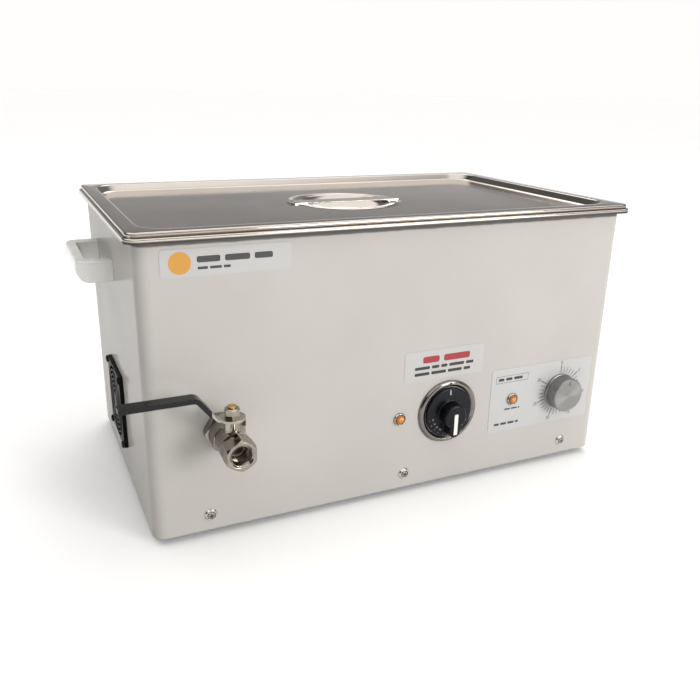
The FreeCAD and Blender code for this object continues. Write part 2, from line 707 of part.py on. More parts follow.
def make_left_handle():
    outer = box(LEFT - HANDLE_REACH, LEFT, -HANDLE_LENGTH / 2, HANDLE_LENGTH / 2,
                -HANDLE_HEIGHT / 2, HANDLE_HEIGHT / 2)
    outer.translate(Vector(0, HANDLE_SHIFT, HANDLE_Z))
    corners = []
    for edge in edges_along(outer, UP):
        if edge.CenterOfMass.x < LEFT - 1:
            corners.append(edge)
    handle = outer.makeFillet(HANDLE_OUTER_CORNER, corners)
    profile_box = box(LEFT - HANDLE_REACH, LEFT, HANDLE_SHIFT - HANDLE_LENGTH, HANDLE_SHIFT + HANDLE_LENGTH,
                      HANDLE_Z - HANDLE_HEIGHT / 2, HANDLE_Z + HANDLE_HEIGHT / 2)
    lower = [edge for edge in edges_along(profile_box, TO_BACK)
             if edge.CenterOfMass.x < LEFT - 1 and edge.CenterOfMass.z < HANDLE_Z]
    profile = profile_box.makeFillet(HANDLE_LOWER_CORNER, lower)
    upper = [edge for edge in edges_along(profile, TO_BACK)
             if edge.CenterOfMass.x < LEFT - HANDLE_REACH + 0.1 and edge.CenterOfMass.z > HANDLE_Z + 1]
    profile = profile.makeFillet(HANDLE_EDGE * 1.4, upper)
    handle = handle.common(profile)
    reach = HANDLE_REACH - HANDLE_BAR
    hollow = box(LEFT - reach, LEFT + 1, -HANDLE_LENGTH / 2 + HANDLE_LEG, HANDLE_LENGTH / 2 - HANDLE_LEG,
                 -HANDLE_HEIGHT, HANDLE_HEIGHT)
    hollow.translate(Vector(0, HANDLE_SHIFT, HANDLE_Z))
    inner_corners = [edge for edge in edges_along(hollow, UP) if edge.CenterOfMass.x < LEFT - 1]
    hollow = hollow.makeFillet(HANDLE_INNER_CORNER, inner_corners)
    handle = handle.cut(hollow)
    top = edges_at(handle, HANDLE_Z + HANDLE_HEIGHT / 2)
    top = [edge for edge in top if edge.BoundBox.XMin < LEFT - 0.5]
    handle = handle.makeFillet(HANDLE_EDGE, top)
    for y in handle_screw_ys():
        seat = Vector(LEFT, y, HANDLE_Z)
        pilot = rod(seat, TO_LEFT, HANDLE_SCREW_RADIUS + PIPE_FIT, HANDLE_SCREW_SHANK + 1)
        handle = handle.cut(pilot)
    return handle


def make_right_handle():
    return mirrored(make_left_handle())


def make_handle_screws():
    screws = []
    for y in handle_screw_ys():
        seat = Vector(LEFT + CASE_SHEET, y, HANDLE_Z)
        screw = pan_screw(seat, TO_RIGHT, HANDLE_SCREW_RADIUS, HANDLE_SCREW_HEAD, HANDLE_SCREW_HEAD_HEIGHT,
                          HANDLE_SCREW_SHANK)
        screws.append(screw)
        screws.append(mirrored(screw))
    return group(screws)


# ---- fan ----

def make_fan_guard():
    face = LEFT - GUARD_THICKNESS
    half = FAN_SIDE / 2
    plate = box(face, LEFT, FAN_SHIFT - half, FAN_SHIFT + half, FAN_Z - half, FAN_Z + half)
    plate = plate.makeFillet(4.0, edges_along(plate, TO_RIGHT))
    rim_edges = []
    for edge in plate.Edges:
        if edge.BoundBox.XMax < face + 0.01:
            rim_edges.append(edge)
    plate = plate.makeFillet(1.2, rim_edges)
    centre = Vector(face, FAN_SHIFT, FAN_Z)
    guard = plate.cut(rod(centre, TO_RIGHT, FAN_DUCT_RADIUS, GUARD_THICKNESS))
    depth = GUARD_THICKNESS * 0.62
    for index in range(GUARD_RINGS):
        outer = FAN_DUCT_RADIUS - GUARD_RING_PITCH * (index + 1) + GUARD_RING_WIDTH
        guard = guard.fuse(ring(centre, TO_RIGHT, outer, outer - GUARD_RING_WIDTH, depth))
    hub = FAN_DUCT_RADIUS - GUARD_RING_PITCH * GUARD_RINGS + GUARD_RING_WIDTH
    guard = guard.fuse(rod(centre, TO_RIGHT, hub, depth))
    for turn in (45, 135):
        spoke = box(face, face + depth, -FAN_DUCT_RADIUS - 0.6, FAN_DUCT_RADIUS + 0.6, -1.0, 1.0)
        spoke.rotate(Vector(face, 0, 0), TO_RIGHT, turn)
        spoke.translate(Vector(0, FAN_SHIFT, FAN_Z))
        guard = guard.fuse(spoke)
    for y, z in fan_hole_places():
        hole = rod(Vector(face - 1, y, z), TO_RIGHT, SCREW_RADIUS + HOLE_CLEARANCE, GUARD_THICKNESS + 2)
        guard = guard.cut(hole)
    return guard.removeSplitter()


def make_fan_screws():
    shank = GUARD_THICKNESS + CASE_SHEET + FAN_DEPTH + NUT_HEIGHT + 1.4
    screws = []
    for y, z in fan_hole_places():
        screws.append(pan_screw(Vector(LEFT - GUARD_THICKNESS, y, z), TO_LEFT, SCREW_RADIUS,
                                SCREW_HEAD_RADIUS, SCREW_HEAD_HEIGHT, shank))
    return group(screws)




def make_fan_frame():
    start = LEFT + CASE_SHEET
    half = FAN_SIDE / 2
    frame = box(start, start + FAN_DEPTH, FAN_SHIFT - half, FAN_SHIFT + half, FAN_Z - half, FAN_Z + half)
    frame = frame.makeFillet(4.0, edges_along(frame, TO_RIGHT))
    centre = Vector(start, FAN_SHIFT, FAN_Z)
    frame = frame.cut(rod(centre, TO_RIGHT, FAN_DUCT_RADIUS, FAN_DEPTH))
    inner = Vector(start + FAN_DEPTH - STRUT_DEPTH, FAN_SHIFT, FAN_Z)
    frame = frame.fuse(rod(inner, TO_RIGHT, FAN_HUB_RADIUS, STRUT_DEPTH))
    for turn in (0, 120, 240):
        strut = box(inner.x, inner.x + STRUT_DEPTH, 0, FAN_DUCT_RADIUS + 0.6, -2.0, 2.0)
        strut.rotate(Vector(inner.x, 0, 0), TO_RIGHT, turn + 30)
        strut.translate(Vector(0, FAN_SHIFT, FAN_Z))
        frame = frame.fuse(strut)
    stator = rod(inner, TO_LEFT, FAN_HUB_RADIUS - 4.0, MOTOR_CUP_DEPTH)
    bearing_length = STRUT_DEPTH + MOTOR_CUP_DEPTH
    bearing = rod(inner + TO_RIGHT * STRUT_DEPTH, TO_LEFT, FAN_SHAFT_RADIUS + SHAFT_FIT, bearing_length)
    frame = frame.fuse(stator).cut(bearing)
    for y, z in fan_hole_places():
        hole = rod(Vector(start - 1, y, z), TO_RIGHT, SCREW_RADIUS + HOLE_CLEARANCE, FAN_DEPTH + 2)
        frame = frame.cut(hole)
    return frame.removeSplitter()


def make_fan_rotor():
    start = LEFT + CASE_SHEET + 2.0
    inner = LEFT + CASE_SHEET + FAN_DEPTH - STRUT_DEPTH - 1.0
    centre = Vector(start, FAN_SHIFT, FAN_Z)
    length = inner - start
    hub = rod(centre, TO_RIGHT, FAN_HUB_RADIUS, length)
    cup_start = inner - MOTOR_CUP_DEPTH
    cup = rod(Vector(cup_start, FAN_SHIFT, FAN_Z), TO_RIGHT, FAN_HUB_RADIUS - 2.5, MOTOR_CUP_DEPTH)
    rotor = hub.cut(cup)
    shaft_length = MOTOR_CUP_DEPTH + 1.0 + STRUT_DEPTH - 0.5
    rotor = rotor.fuse(rod(Vector(cup_start - 1, FAN_SHIFT, FAN_Z), TO_RIGHT, FAN_SHAFT_RADIUS, shaft_length))
    tip = FAN_DUCT_RADIUS - FAN_TIP_CLEARANCE
    for blade in range(FAN_BLADES):
        plate = box(-0.8, 0.8, FAN_HUB_RADIUS - 0.8, tip, -length * 0.62, length * 0.62)
        plate.rotate(Vector(0, 0, 0), TO_BACK, 52)
        plate = plate.common(box(-length / 2, length / 2, 0, tip + 1, -60, 60))
        plate.rotate(Vector(0, 0, 0), TO_RIGHT, 360.0 / FAN_BLADES * blade)
        plate.translate(Vector(start + length / 2, FAN_SHIFT, FAN_Z))
        rotor = rotor.fuse(plate)
    return rotor.common(rod(centre, TO_RIGHT, tip, FAN_DEPTH))


# ---- drain line ----

def make_drain_fitting():
    seat = Vector(DRAIN_X, DRAIN_Y, TANK_UNDERSIDE + TANK_WALL)
    profile = [(PIPE_BORE, FLANGE_THICKNESS), (PIPE_BORE + 3.0, FLANGE_THICKNESS)]
    profile += [(FLANGE_RADIUS, 0.9), (FLANGE_RADIUS, 0), (PIPE_RADIUS, 0)]
    stub_end = ELBOW_TOP - seat.z - 6.0
    profile += [(PIPE_RADIUS, stub_end), (PIPE_BORE, stub_end)]
    return turned(profile, seat, UP)




def make_drain_gasket():
    start = Vector(DRAIN_X, DRAIN_Y, TANK_UNDERSIDE)
    return ring(start, DOWN, FLANGE_RADIUS - 2.0, PIPE_RADIUS + PIPE_FIT, DRAIN_GASKET)


def make_drain_nut():
    start = Vector(DRAIN_X, DRAIN_Y, TANK_UNDERSIDE - DRAIN_GASKET)
    return nut(start, DOWN, PIPE_RADIUS + PIPE_FIT, DRAIN_NUT_FLATS, DRAIN_NUT_HEIGHT)


def make_drain_elbow():
    corner = Vector(DRAIN_X, DRAIN_Y, DRAIN_Z)
    reach = ELBOW_TOP - DRAIN_Z
    body = rod(corner, UP, ELBOW_RADIUS, reach).fuse(rod(corner, TO_FRONT, ELBOW_RADIUS, reach))
    body = body.fuse(Part.makeSphere(ELBOW_RADIUS, corner))
    bore = rod(corner, UP, PIPE_BORE, reach).fuse(rod(corner, TO_FRONT, PIPE_BORE, reach))
    bore = bore.fuse(Part.makeSphere(PIPE_BORE, corner))
    socket = PIPE_RADIUS + PIPE_FIT
    mouths = rod(corner + UP * (reach - 7.0), UP, socket, 7.0)
    mouths = mouths.fuse(rod(corner + TO_FRONT * (reach - 7.0), TO_FRONT, socket, 7.0))
    return body.cut(bore).cut(mouths)


VALVE_START = FRONT - WALL_NUT_LENGTH
STEM_Y = VALVE_START - VALVE_SHOULDER_LENGTH - VALVE_WAIST_LENGTH / 2
CAP_START = VALVE_START - VALVE_SHOULDER_LENGTH - VALVE_WAIST_LENGTH
OUTLET_Y = CAP_START - VALVE_END_LENGTH
BALL_CENTRE = Vector(DRAIN_X, STEM_Y, DRAIN_Z)


def make_drain_pipe():
    start_y = DRAIN_Y - (ELBOW_TOP - DRAIN_Z) + 6.0
    end_y = VALVE_START - PIPE_SOCKET
    return ring(Vector(DRAIN_X, start_y, DRAIN_Z), TO_FRONT, PIPE_RADIUS, PIPE_BORE, start_y - end_y)


def make_wall_nut():
    start = Vector(DRAIN_X, FRONT, DRAIN_Z)
    body = hexagon(start, TO_FRONT, WALL_NUT_FLATS, WALL_NUT_LENGTH)
    edge = WALL_NUT_FLATS / 2 - 0.4
    soften = [(0, 0), (WALL_NUT_RADIUS, 0), (WALL_NUT_RADIUS, WALL_NUT_LENGTH - 2.2)]
    soften += [(edge, WALL_NUT_LENGTH), (0, WALL_NUT_LENGTH)]
    body = body.common(turned(soften, start, TO_FRONT))
    return body.cut(rod(start, TO_FRONT, PIPE_RADIUS + PIPE_FIT, WALL_NUT_LENGTH))


def make_lock_nut():
    start = Vector(DRAIN_X, FRONT + CASE_SHEET, DRAIN_Z)
    return nut(start, TO_BACK, PIPE_RADIUS + PIPE_FIT, 30.0, 6.0)


SEAT_REACH = math.sqrt(BALL_RADIUS ** 2 - BALL_BORE ** 2)


def make_valve_body():
    start = Vector(DRAIN_X, VALVE_START, DRAIN_Z)
    shoulder = VALVE_SHOULDER_LENGTH
    waist = shoulder + VALVE_WAIST_LENGTH
    profile = [(0, 0), (WALL_NUT_RADIUS - 2.2, 0), (WALL_NUT_RADIUS - 2.4, shoulder * 0.45)]
    profile += [(VALVE_WAIST_RADIUS + 0.6, shoulder), (VALVE_WAIST_RADIUS + 0.6, shoulder + 0.8)]
    profile += [(VALVE_WAIST_RADIUS, shoulder + 1.6), (VALVE_WAIST_RADIUS, waist), (0, waist)]
    body = turned(profile, start, TO_FRONT)
    axis = Vector(DRAIN_X, STEM_Y, DRAIN_Z)
    body = body.fuse(rod(axis, UP, TOWER_RADIUS, TOWER_HEIGHT))
    lug_inner = TOWER_RADIUS - 0.5
    body = body.fuse(sector(STOP_RADIUS, lug_inner, LUG_TURN, LUG_SPAN, LUG_BOTTOM, TOWER_HEIGHT - 0.6))
    body = body.cut(rod(start, TO_FRONT, PIPE_RADIUS + PIPE_FIT, PIPE_SOCKET))
    body = body.cut(rod(start, TO_FRONT, PIPE_BORE, waist))
    chamber_back = shoulder + VALVE_WAIST_LENGTH / 2 - SEAT_REACH - SEAT_LENGTH
    body = body.cut(rod(start + TO_FRONT * chamber_back, TO_FRONT, SEAT_POCKET, waist - chamber_back))
    spigot_start = start + TO_FRONT * (waist - SPIGOT_LENGTH)
    body = body.cut(rod(spigot_start, TO_FRONT, SPIGOT_RADIUS + PIPE_FIT, SPIGOT_LENGTH))
    return body.cut(rod(axis, UP, STEM_RADIUS + STEM_FIT, TOWER_HEIGHT + 1))


def make_valve_end_cap():
    start = Vector(DRAIN_X, CAP_START, DRAIN_Z)
    end = hexagon(start, TO_FRONT, VALVE_END_FLATS, VALVE_END_LENGTH, 30)
    corner = VALVE_END_FLATS / math.sqrt(3.0)
    soften = [(0, 0), (corner - 0.9, 0), (corner, 1.2), (corner, VALVE_END_LENGTH - 2.0)]
    soften += [(VALVE_END_FLATS / 2 + 0.2, VALVE_END_LENGTH), (0, VALVE_END_LENGTH)]
    end = end.common(turned(soften, start, TO_FRONT))
    end = end.fuse(rod(start, TO_BACK, SPIGOT_RADIUS, SPIGOT_LENGTH - PIPE_FIT))
    seat_end = STEM_Y - SEAT_REACH - SEAT_LENGTH
    end = end.cut(rod(Vector(DRAIN_X, start.y + SPIGOT_LENGTH, DRAIN_Z), TO_FRONT, SEAT_POCKET,
                      start.y + SPIGOT_LENGTH - seat_end))
    end = end.cut(rod(start, TO_FRONT, BALL_BORE, VALVE_END_LENGTH))
    mouth = Vector(DRAIN_X, OUTLET_Y, DRAIN_Z)
    end = end.cut(rod(mouth, TO_BACK, OUTLET_THREAD_RADIUS, OUTLET_THREAD_LENGTH))
    cone = [(0, 0), (OUTLET_THREAD_RADIUS + THREAD_LEAD_IN, 0), (OUTLET_THREAD_RADIUS, THREAD_LEAD_IN)]
    lead_in = turned(cone + [(0, THREAD_LEAD_IN)], mouth, TO_BACK)
    return end.cut(lead_in)


def make_valve_seats():
    seats = []
    for way in (TO_BACK, TO_FRONT):
        start = BALL_CENTRE + way * SEAT_REACH
        seat = ring(start + way * -1.5, way, SEAT_OUTER, BALL_BORE, SEAT_LENGTH + 1.5)
        seats.append(seat.cut(Part.makeSphere(BALL_RADIUS + SEAT_GAP, BALL_CENTRE)))
    return group(seats)




def make_valve_ball():
    ball = Part.makeSphere(BALL_RADIUS, BALL_CENTRE)
    bore = rod(BALL_CENTRE + TO_LEFT * BALL_RADIUS * 1.2, TO_RIGHT, BALL_BORE, BALL_RADIUS * 2.4)
    slot_bottom = BALL_RADIUS - STEM_SLOT_DEPTH
    half = TANG_WIDTH / 2
    slot = box(-half, half, -BALL_RADIUS, BALL_RADIUS, slot_bottom, BALL_RADIUS + 1)
    slot.translate(BALL_CENTRE)
    return ball.cut(bore).cut(slot)


def make_valve_stem():
    collar_base = BALL_CENTRE + UP * (BALL_RADIUS + 0.1)
    stem = rod(collar_base, UP, STEM_RADIUS, STEM_HEIGHT - BALL_RADIUS - 0.1)
    half = TANG_WIDTH / 2 - 0.1
    tang = box(-half, half, -3.2, 3.2, BALL_RADIUS - STEM_SLOT_DEPTH + 0.1, BALL_RADIUS + 0.1)
    tang.translate(BALL_CENTRE)
    return stem.fuse(tang)


# ---- lever ----

PLATE_BOTTOM = TOWER_HEIGHT + LEVER_GAP
PLATE_TOP = PLATE_BOTTOM + LEVER_THICKNESS
TAB_STEP = LUG_SPAN / 2 + TAB_SPAN / 2 + STOP_CLEARANCE
TAB_TURNS = (LUG_TURN + TAB_STEP, LUG_TURN - 90.0 - TAB_STEP)


def sector(outer, inner, turn, span, low, high):
    """Part of a ring round the stem, placed by its middle angle, between two heights."""
    whole = ring(Vector(0, 0, low), UP, outer, inner, high - low)
    reach = 2 * outer
    points = [Vector(0, 0, low)]
    for side in (-0.5, 0.5):
        angle = math.radians(turn + side * span)
        points.append(Vector(reach * math.cos(angle), reach * math.sin(angle), low))
    points.append(points[0])
    wedge = Part.Face(Part.makePolygon(points)).extrude(Vector(0, 0, high - low))
    piece = whole.common(wedge)
    piece.translate(Vector(DRAIN_X, STEM_Y, DRAIN_Z))
    return piece


def lever_strip(low, high, start, end, half_width):
    """Bent strip in the lever's side profile, between two offsets from its middle line."""
    middle = (PLATE_BOTTOM + PLATE_TOP) / 2
    slope = math.atan2(LEVER_RISE, LEVER_SLOPE_END - LEVER_SLOPE_START)
    shift = math.tan(slope / 2)
    lines = []
    for offset in (low, high):
        first = Vector(-LEVER_SLOPE_START - offset * -shift, 0, middle + offset)
        second = Vector(-LEVER_SLOPE_END - offset * -shift, 0, middle + LEVER_RISE + offset)
        lines.append((first, second))
    raised = middle + LEVER_RISE
    ground = [Vector(-start, 0, middle + low), lines[0][0], lines[0][1], Vector(-end, 0, raised + low)]
    roof = [Vector(-start, 0, middle + high), lines[1][0], lines[1][1], Vector(-end, 0, raised + high)]
    under = rounded_path(ground, [LEVER_BEND - low, LEVER_BEND + low])
    over = rounded_path(roof, [LEVER_BEND - high, LEVER_BEND + high])
    ends = [Part.LineSegment(ground[0], roof[0]).toShape(), Part.LineSegment(ground[3], roof[3]).toShape()]
    outline = Part.Wire(Part.__sortEdges__(under.Edges + over.Edges + ends))
    strip = Part.Face(outline).extrude(Vector(0, 2 * half_width, 0))
    strip.translate(Vector(DRAIN_X, STEM_Y - half_width, DRAIN_Z))
    return strip


def make_lever():
    half = LEVER_THICKNESS / 2
    strip = lever_strip(-half, half, 0.0, LEVER_LENGTH, LEVER_WIDTH / 2)
    axis = Vector(DRAIN_X, STEM_Y, DRAIN_Z)
    lever = strip.fuse(rod(axis + UP * PLATE_BOTTOM, UP, STOP_RADIUS, LEVER_THICKNESS))
    for turn in TAB_TURNS:
        lever = lever.fuse(sector(STOP_RADIUS, STOP_RADIUS - 2.2, turn, TAB_SPAN, TAB_BOTTOM, PLATE_BOTTOM))
    return lever.cut(rod(axis + UP * (PLATE_BOTTOM - 1), UP, STEM_RADIUS + PIPE_FIT, LEVER_THICKNESS + 2))


def make_lever_sleeve():
    strip_half = LEVER_THICKNESS / 2
    outer = strip_half + SLEEVE_FIT + SLEEVE_WALL
    half_width = LEVER_WIDTH / 2 + SLEEVE_FIT + SLEEVE_WALL
    hollow_half = LEVER_WIDTH / 2 + SLEEVE_FIT
    hollow_end = LEVER_LENGTH + SLEEVE_FIT
    skin = lever_strip(-outer, outer, LEVER_SLOPE_START - 4, hollow_end + SLEEVE_WALL, half_width)
    hollow = lever_strip(-strip_half - SLEEVE_FIT, strip_half + SLEEVE_FIT, 0.0, hollow_end, hollow_half)
    cut_x = DRAIN_X - SLEEVE_START
    keep = box(cut_x - 2 * LEVER_LENGTH, cut_x, STEM_Y - 30, STEM_Y + 30, DRAIN_Z, DRAIN_Z + 100)
    sleeve = skin.common(keep).cut(hollow)
    tip_x = DRAIN_X - LEVER_LENGTH - SLEEVE_WALL - SLEEVE_FIT
    tip = [edge for edge in sleeve.Edges
           if edge.BoundBox.XMax < tip_x + 0.01 and edge.BoundBox.ZLength > outer]
    if tip:
        sleeve = sleeve.makeFillet(4.0, tip)
    return sleeve


def make_lever_nut():
    start = BALL_CENTRE + UP * PLATE_TOP
    body = hexagon(start, UP, LEVER_NUT_FLATS, LEVER_NUT_HEIGHT, 15)
    corner = LEVER_NUT_FLATS / math.sqrt(3.0)
    soften = [(0, 0), (corner, 0), (corner, LEVER_NUT_HEIGHT - 1.4)]
    soften += [(corner - 1.8, LEVER_NUT_HEIGHT), (0, LEVER_NUT_HEIGHT)]
    body = body.common(turned(soften, start, UP))
    return body.cut(rod(start, UP, STEM_RADIUS + PIPE_FIT, LEVER_NUT_HEIGHT))


# ---- controls ----

def control_point(x, proud):
    """Point on a control's axis, this far in front of the case."""
    return Vector(x, FRONT - proud, CONTROL_Z)


def make_thermostat_bezel():
    start = control_point(THERMOSTAT_X, 0)
    profile = [(BEZEL_BORE, 0), (BEZEL_RADIUS, 0), (BEZEL_RADIUS, BEZEL_THICKNESS * 0.45)]
    profile += [(BEZEL_RADIUS - 1.2, BEZEL_THICKNESS * 0.85), (BEZEL_RADIUS - 2.4, BEZEL_THICKNESS)]
    profile += [(BEZEL_BORE + 2.2, BEZEL_THICKNESS), (BEZEL_BORE, BEZEL_THICKNESS * 0.6)]
    bezel = turned(profile, start, TO_FRONT)
    notch_depth = 1.0
    face = FRONT - BEZEL_THICKNESS
    low = CONTROL_Z + BEZEL_BORE + 0.9
    points = [Vector(THERMOSTAT_X, face - 0.1, low), Vector(THERMOSTAT_X - 1.9, face - 0.1, low + 3.6)]
    points += [Vector(THERMOSTAT_X + 1.9, face - 0.1, low + 3.6), Vector(THERMOSTAT_X, face - 0.1, low)]
    notch = Part.Face(Part.makePolygon(points)).extrude(TO_BACK * (notch_depth + 0.1))
    return bezel.cut(notch)


def make_thermostat_knob():
    start = control_point(THERMOSTAT_X, SKIRT_GAP)
    edge = SKIRT_THICKNESS * 0.55
    profile = [(0, 0), (SKIRT_RADIUS, 0), (SKIRT_RADIUS, edge), (SKIRT_RADIUS - 1.0, edge + 0.9)]
    profile += [(GRIP_HUB_RADIUS + 1.5, SKIRT_THICKNESS), (0, SKIRT_THICKNESS)]
    skirt = turned(profile, start, TO_FRONT)
    face = FRONT - SKIRT_GAP - SKIRT_THICKNESS
    half = GRIP_WIDTH / 2
    grip = box(THERMOSTAT_X - half, THERMOSTAT_X + half, face - GRIP_HEIGHT, face + 1,
               CONTROL_Z - GRIP_REACH, CONTROL_Z)
    tail_corners = [edge for edge in edges_along(grip, TO_BACK) if edge.BoundBox.ZMax < CONTROL_Z - 1]
    grip = grip.makeFillet(half - 0.5, tail_corners)
    hub = rod(Vector(THERMOSTAT_X, face + 1, CONTROL_Z), TO_FRONT, GRIP_HUB_RADIUS, GRIP_HEIGHT + 1)
    grip = grip.fuse(hub).removeSplitter()
    front_edges = [edge for edge in grip.Edges if edge.BoundBox.YMax < face - GRIP_HEIGHT + 0.01]
    grip = grip.makeFillet(1.6, front_edges)
    within = rod(control_point(THERMOSTAT_X, 0), TO_FRONT, SKIRT_RADIUS - 2.0, 60)
    knob = skirt.fuse(grip.common(within))
    knob = knob.cut(pointer_block(POINTER_THICKNESS))
    bore_length = SKIRT_THICKNESS + GRIP_HEIGHT * 0.55
    return knob.cut(rod(start, TO_FRONT, SHAFT_RADIUS + PIPE_FIT, bore_length))


def pointer_block(depth):
    """White bar let into the lower half of the grip."""
    face = FRONT - SKIRT_GAP - SKIRT_THICKNESS - GRIP_HEIGHT
    half = POINTER_WIDTH / 2
    top = CONTROL_Z + 3.0
    return box(THERMOSTAT_X - half, THERMOSTAT_X + half, face, face + depth, top - POINTER_LENGTH, top)


def make_knob_pointer():
    return pointer_block(POINTER_THICKNESS)


def make_thermostat_shaft():
    length = SKIRT_GAP + SKIRT_THICKNESS + GRIP_HEIGHT * 0.5 + CASE_SHEET + 4.0
    start = Vector(THERMOSTAT_X, FRONT + CASE_SHEET + 4.0, CONTROL_Z)
    return rod(start, TO_FRONT, SHAFT_RADIUS, length)


def control_body(x, width, tall, deep, bush_proud):
    """Closed box behind the front, with a bush through the case and a bore for the shaft."""
    front = FRONT + CASE_SHEET
    body = box(x - width / 2, x + width / 2, front, front + deep, CONTROL_Z - tall / 2, CONTROL_Z + tall / 2)
    body = body.makeFillet(2.0, edges_along(body, TO_BACK))
    bush = rod(Vector(x, front, CONTROL_Z), TO_FRONT, BUSH_RADIUS, CASE_SHEET + bush_proud)
    body = body.fuse(bush)
    return body.cut(rod(Vector(x, front + 4.5, CONTROL_Z), TO_FRONT, SHAFT_RADIUS + SHAFT_FIT, 12))


def make_thermostat_body():
    body = control_body(THERMOSTAT_X, THERMOSTAT_WIDTH, THERMOSTAT_TALL, THERMOSTAT_DEEP, 0.6)
    terminals = []
    for step in (-1, 0, 1):
        x = THERMOSTAT_X + step * 12.0
        rear = FRONT + CASE_SHEET + THERMOSTAT_DEEP
        terminals.append(box(x - 3.2, x + 3.2, rear, rear + 7.0, CONTROL_Z - 10.4, CONTROL_Z - 9.6))
    return body.fuse(terminals)


def make_timer_body():
    body = control_body(TIMER_X, TIMER_WIDTH, TIMER_TALL, TIMER_DEEP, 0.6)
    gong = rod(Vector(TIMER_X, FRONT + CASE_SHEET + TIMER_DEEP, CONTROL_Z), TO_BACK, 17.0, 6.0)
    hollow = rod(Vector(TIMER_X, FRONT + CASE_SHEET + TIMER_DEEP + 2, CONTROL_Z), TO_BACK, 15.5, 5)
    return body.fuse(gong.cut(hollow))


def make_timer_knob():
    start = control_point(TIMER_X, TIMER_KNOB_GAP)
    end = TIMER_KNOB_LENGTH
    profile = [(0, 0), (TIMER_SKIRT_RADIUS, 0), (TIMER_SKIRT_RADIUS, 1.2)]
    profile += [(TIMER_KNOB_RADIUS, 2.0), (TIMER_KNOB_RADIUS, end - 0.9)]
    profile += [(TIMER_KNOB_RADIUS - 0.9, end), (0, end)]
    knob = turned(profile, start, TO_FRONT)
    return knob.cut(rod(start, TO_FRONT, SHAFT_RADIUS + PIPE_FIT, end - 4.0))


def make_timer_shaft():
    length = TIMER_KNOB_GAP + TIMER_KNOB_LENGTH - 5.0 + CASE_SHEET + 4.0
    return rod(Vector(TIMER_X, FRONT + CASE_SHEET + 4.0, CONTROL_Z), TO_FRONT, SHAFT_RADIUS, length)


def lamp_seats():
    """Each lamp's place along the front and the thickness of the label under it."""
    return [(LAMP_XS[0], 0.0), (LAMP_XS[1], LABEL_THICKNESS)]


def make_lamp_bezels():
    bore = LAMP_LENS_RADIUS + LAMP_FIT
    profile = [(bore, 0), (LAMP_RADIUS, 0), (LAMP_RADIUS, LAMP_PROUD * 0.5), (LAMP_RADIUS - 0.6, LAMP_PROUD)]
    profile += [(bore + 0.5, LAMP_PROUD), (bore, LAMP_PROUD * 0.6)]
    return group([turned(profile, control_point(x, seat), TO_FRONT) for x, seat in lamp_seats()])


def make_lamp_lenses():
    lenses = []
    radius = LAMP_LENS_RADIUS
    rise = LAMP_LENS_PROUD
    for x, seat in lamp_seats():
        inner = -CASE_SHEET - LAMP_LENS_ROOT - seat
        profile = [(0, inner), (radius, inner), (radius, rise * 0.45), (radius * 0.86, rise * 0.78)]
        profile += [(radius * 0.5, rise * 0.96), (0, rise)]
        lenses.append(turned(profile, control_point(x, seat), TO_FRONT))
    return group(lenses)


def make_lamp_bodies():
    bodies = []
    for x in LAMP_XS:
        start = Vector(x, FRONT + CASE_SHEET, CONTROL_Z)
        body = rod(start, TO_BACK, LAMP_RADIUS - 0.4, LAMP_BODY_LENGTH)
        bodies.append(body.cut(rod(start, TO_BACK, LAMP_LENS_RADIUS + LAMP_FIT, LAMP_LENS_ROOT)))
    return group(bodies)


def front_label(x, z, length, height, holes):
    """Thin plate with round corners on the front of the case."""
    plate = box(x - length / 2, x + length / 2, FRONT - LABEL_THICKNESS, FRONT,
                z - height / 2, z + height / 2)
    plate = plate.makeFillet(LABEL_CORNER, edges_along(plate, TO_BACK))
    for hole_x, radius in holes:
        plate = plate.cut(rod(Vector(hole_x, FRONT + 1, CONTROL_Z), TO_FRONT, radius, 3))
    return plate


def make_front_labels():
    upper_z = CASE_TOP - NAMEPLATE_BELOW_TOP
    upper = front_label(LEFT + NAMEPLATE_FROM_LEFT, upper_z, NAMEPLATE_LENGTH, NAMEPLATE_HEIGHT, [])
    middle_z = CASE_BOTTOM + NOTICE_ABOVE_BASE
    notice = front_label(RIGHT - NOTICE_FROM_RIGHT, middle_z, NOTICE_LENGTH, NOTICE_HEIGHT, [])
    return group([upper, notice])


def make_control_panel():
    holes = [(TIMER_X, BUSH_RADIUS + PIPE_FIT), (LAMP_XS[1], LAMP_LENS_RADIUS + LAMP_FIT)]
    return front_label(RIGHT - PANEL_FROM_RIGHT, CONTROL_Z, PANEL_LENGTH, PANEL_HEIGHT, holes)


# ---- transducers, heaters and sensor ----

def transducer_places():
    """Centres of the transducers, in rows under the tank floor."""
    places = []
    for column in range(TRANSDUCER_COLUMNS):
        for row in range(TRANSDUCER_ROWS):
            x = (column - (TRANSDUCER_COLUMNS - 1) / 2) * TRANSDUCER_PITCH_X
            y = (row - (TRANSDUCER_ROWS - 1) / 2) * TRANSDUCER_PITCH_Y
            places.append((x, y))
    return places


PIEZO_TOP = TANK_UNDERSIDE - HORN_LENGTH
BACK_MASS_TOP = PIEZO_TOP - 2 * PIEZO_THICKNESS
BACK_MASS_END = BACK_MASS_TOP - BACK_MASS_LENGTH


def make_transducer_horns():
    horns = []
    bore = TRANSDUCER_BOLT_RADIUS + PIPE_FIT
    profile = [(0, 0), (HORN_TOP_RADIUS, 0), (HORN_TOP_RADIUS, 4.0), (HORN_BOTTOM_RADIUS, HORN_LENGTH - 6.0)]
    profile += [(HORN_BOTTOM_RADIUS, HORN_LENGTH), (bore, HORN_LENGTH), (bore, HORN_LENGTH - BOLT_IN_HORN)]
    profile += [(0, HORN_LENGTH - BOLT_IN_HORN)]
    for x, y in transducer_places():
        horns.append(turned(profile, Vector(x, y, TANK_UNDERSIDE), DOWN))
    return group(horns)


